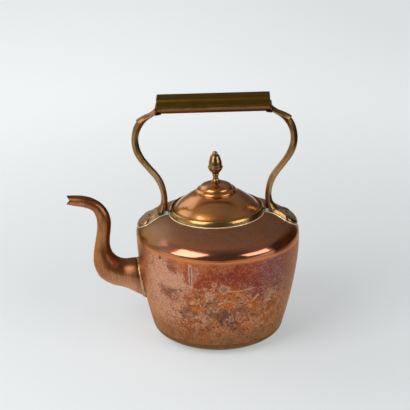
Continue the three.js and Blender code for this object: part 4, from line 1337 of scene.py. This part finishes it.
class KETTLE_OT_stage(KettleOperator, bpy.types.Operator):
    """Makes the floor, the lights and the camera"""

    bl_idname = "kettle.stage"
    bl_label = "Stage"

    def make(self):
        scene = bpy.context.scene
        scene.view_settings.view_transform = "Standard"
        self.floor()
        self.world(scene)
        for name, lamp in LAMPS.items():
            self.area_light(name, *lamp)
        self.dark_cards()
        camera = bpy.data.cameras.new("camera")
        camera.sensor_width = SENSOR
        camera.lens = FOCAL_LENGTH / PICTURE * SENSOR
        camera.shift_x, camera.shift_y = (pixels / PICTURE for pixels in SHIFT)
        eye = linked("camera", camera)
        down = radians(ELEVATION)
        eye.location = (0, -DISTANCE * cos(down), AIM_HEIGHT + DISTANCE * sin(down))
        level = Euler((radians(90) - down, 0, 0)).to_matrix()
        roll = Euler((0, 0, radians(ROLL))).to_matrix()
        eye.rotation_euler = (level @ roll).to_euler()
        scene.camera = eye

    def area_light(self, name, toward, distance, width, height, radiance):
        data = bpy.data.lights.new(name, "AREA")
        data.shape = "RECTANGLE"
        data.size, data.size_y = width, height
        data.energy = radiance * pi * width * height
        lamp = linked(name, data)
        lamp.location = Vector(toward).normalized() * distance + Vector(LAMP_AIM)
        lamp.rotation_euler = Vector(toward).to_track_quat("Z", "Y").to_euler()

    def sheet(self, name, corners, material):
        """A flat sheet of the stage, from its corners in millimetres"""
        mesh = bpy.data.meshes.new(name)
        points = [tuple(v * MM for v in corner) for corner in corners]
        mesh.from_pydata(points, [], [tuple(range(len(points)))])
        mesh.materials.append(material)
        thing = linked(name, mesh)
        return thing

    def floor(self):
        """A pale floor that keeps the shadow and glows by itself, so that it shows paler far away
        and on the left
        """
        f = Finish("floor_paper", metal=0.0)
        away = f.measure("LENGTH", f.place).smooth(150, 1100)
        paths = f.node("ShaderNodeLightPath").outputs
        seen = Value(f, paths["Is Camera Ray"]).math("MAXIMUM", paths["Is Glossy Ray"])
        seen = seen.math("MAXIMUM", paths["Is Transmission Ray"])
        glow = f.node("ShaderNodeEmission", None, {
            "Color": "floor",
            "Strength": seen * (away * 0.52 + 0.88 - f.x.smooth(-300, 500) * 0.16) * FLOOR_GLOW,
        })
        tone = bpy.context.scene.kettle_colours.floor
        f.set({
            "Specular IOR Level": 0.1, "Base Color": [v * FLOOR_TONE for v in tone],
            "Roughness": 0.8,
        })
        both = f.node("ShaderNodeAddShader", None, [f.shader.outputs[0], glow.outputs[0]])
        f.put(f.tree.nodes["Material Output"].inputs["Surface"], both.outputs[0])
        self.sheet("floor", [
            (FLOOR_REACH * cos(t), FLOOR_REACH * sin(t), -FLOOR_DROP)
            for t in turns(FLOOR_CORNERS)
        ], f.material)

    def dark_cards(self):
        """Dark cards that only the metal's reflections see"""
        f = Finish("card_paper", metal=0.0)
        f.set({"Base Color": (0.03, 0.03, 0.032), "Roughness": 0.9})
        for name, corners in CARDS.items():
            card = self.sheet(name, corners, f.material)
            card.visible_camera = card.visible_diffuse = card.visible_shadow = False

    def world(self, scene):
        """A soft room, brighter on the left and darker on the right and in front"""
        world = bpy.data.worlds.new("studio")
        world.use_nodes = True
        n = Nodes(world.node_tree)
        x, y, z = n.split(n.node("ShaderNodeTexCoord").outputs["Generated"])
        shade = n.mix(x.smooth(-0.75, 0.7), (0.62, 0.61, 0.59), (0.165, 0.165, 0.165))
        shade = n.mix(z.smooth(0.35, 0.85) * 0.8, shade, (0.27, 0.262, 0.25))
        shade = n.mix(y.smooth(-0.1, -0.6) * 0.85, shade, (0.07, 0.068, 0.065))
        low_back = y.smooth(0.45, 0.8) * z.smooth(0.58, 0.44) * 0.75
        shade = n.mix(low_back, shade, (0.08, 0.08, 0.085))
        n.put(world.node_tree.nodes["Background"].inputs["Color"], shade)
        scene.world = world


class KETTLE_PT_panel(bpy.types.Panel):
    """Lists the kettle's pieces, sizes and colours"""

    bl_idname = "KETTLE_PT_panel"
    bl_label = "Kettle"
    bl_space_type = "VIEW_3D"
    bl_region_type = "UI"
    bl_category = "Kettle"

    def draw(self, context):
        for operator in OPERATORS:
            self.layout.operator(operator.bl_idname)
        for group in (context.scene.kettle_sizes, context.scene.kettle_colours):
            for key in group.bl_rna.properties.keys():
                if key not in ("rna_type", "name"):
                    self.layout.prop(group, key)


OPERATORS = (
    KETTLE_OT_stage, KETTLE_OT_body, KETTLE_OT_base, KETTLE_OT_spout, KETTLE_OT_neck,
    KETTLE_OT_uprights, KETTLE_OT_grip, KETTLE_OT_rivets, KETTLE_OT_lid, KETTLE_OT_finial,
)


def register():
    for kind in (KettleSizes, KettleColours, *OPERATORS, KETTLE_PT_panel):
        bpy.utils.register_class(kind)
    bpy.types.Scene.kettle_sizes = bpy.props.PointerProperty(type=KettleSizes)
    bpy.types.Scene.kettle_colours = bpy.props.PointerProperty(type=KettleColours)


def unregister():
    del bpy.types.Scene.kettle_sizes
    del bpy.types.Scene.kettle_colours
    for kind in (KETTLE_PT_panel, *reversed(OPERATORS), KettleColours, KettleSizes):
        bpy.utils.unregister_class(kind)


def main():
    register()
    for operator in OPERATORS:
        group, name = operator.bl_idname.split(".")
        getattr(getattr(bpy.ops, group), name)()
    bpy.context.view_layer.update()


if __name__ == "__main__":
    main()
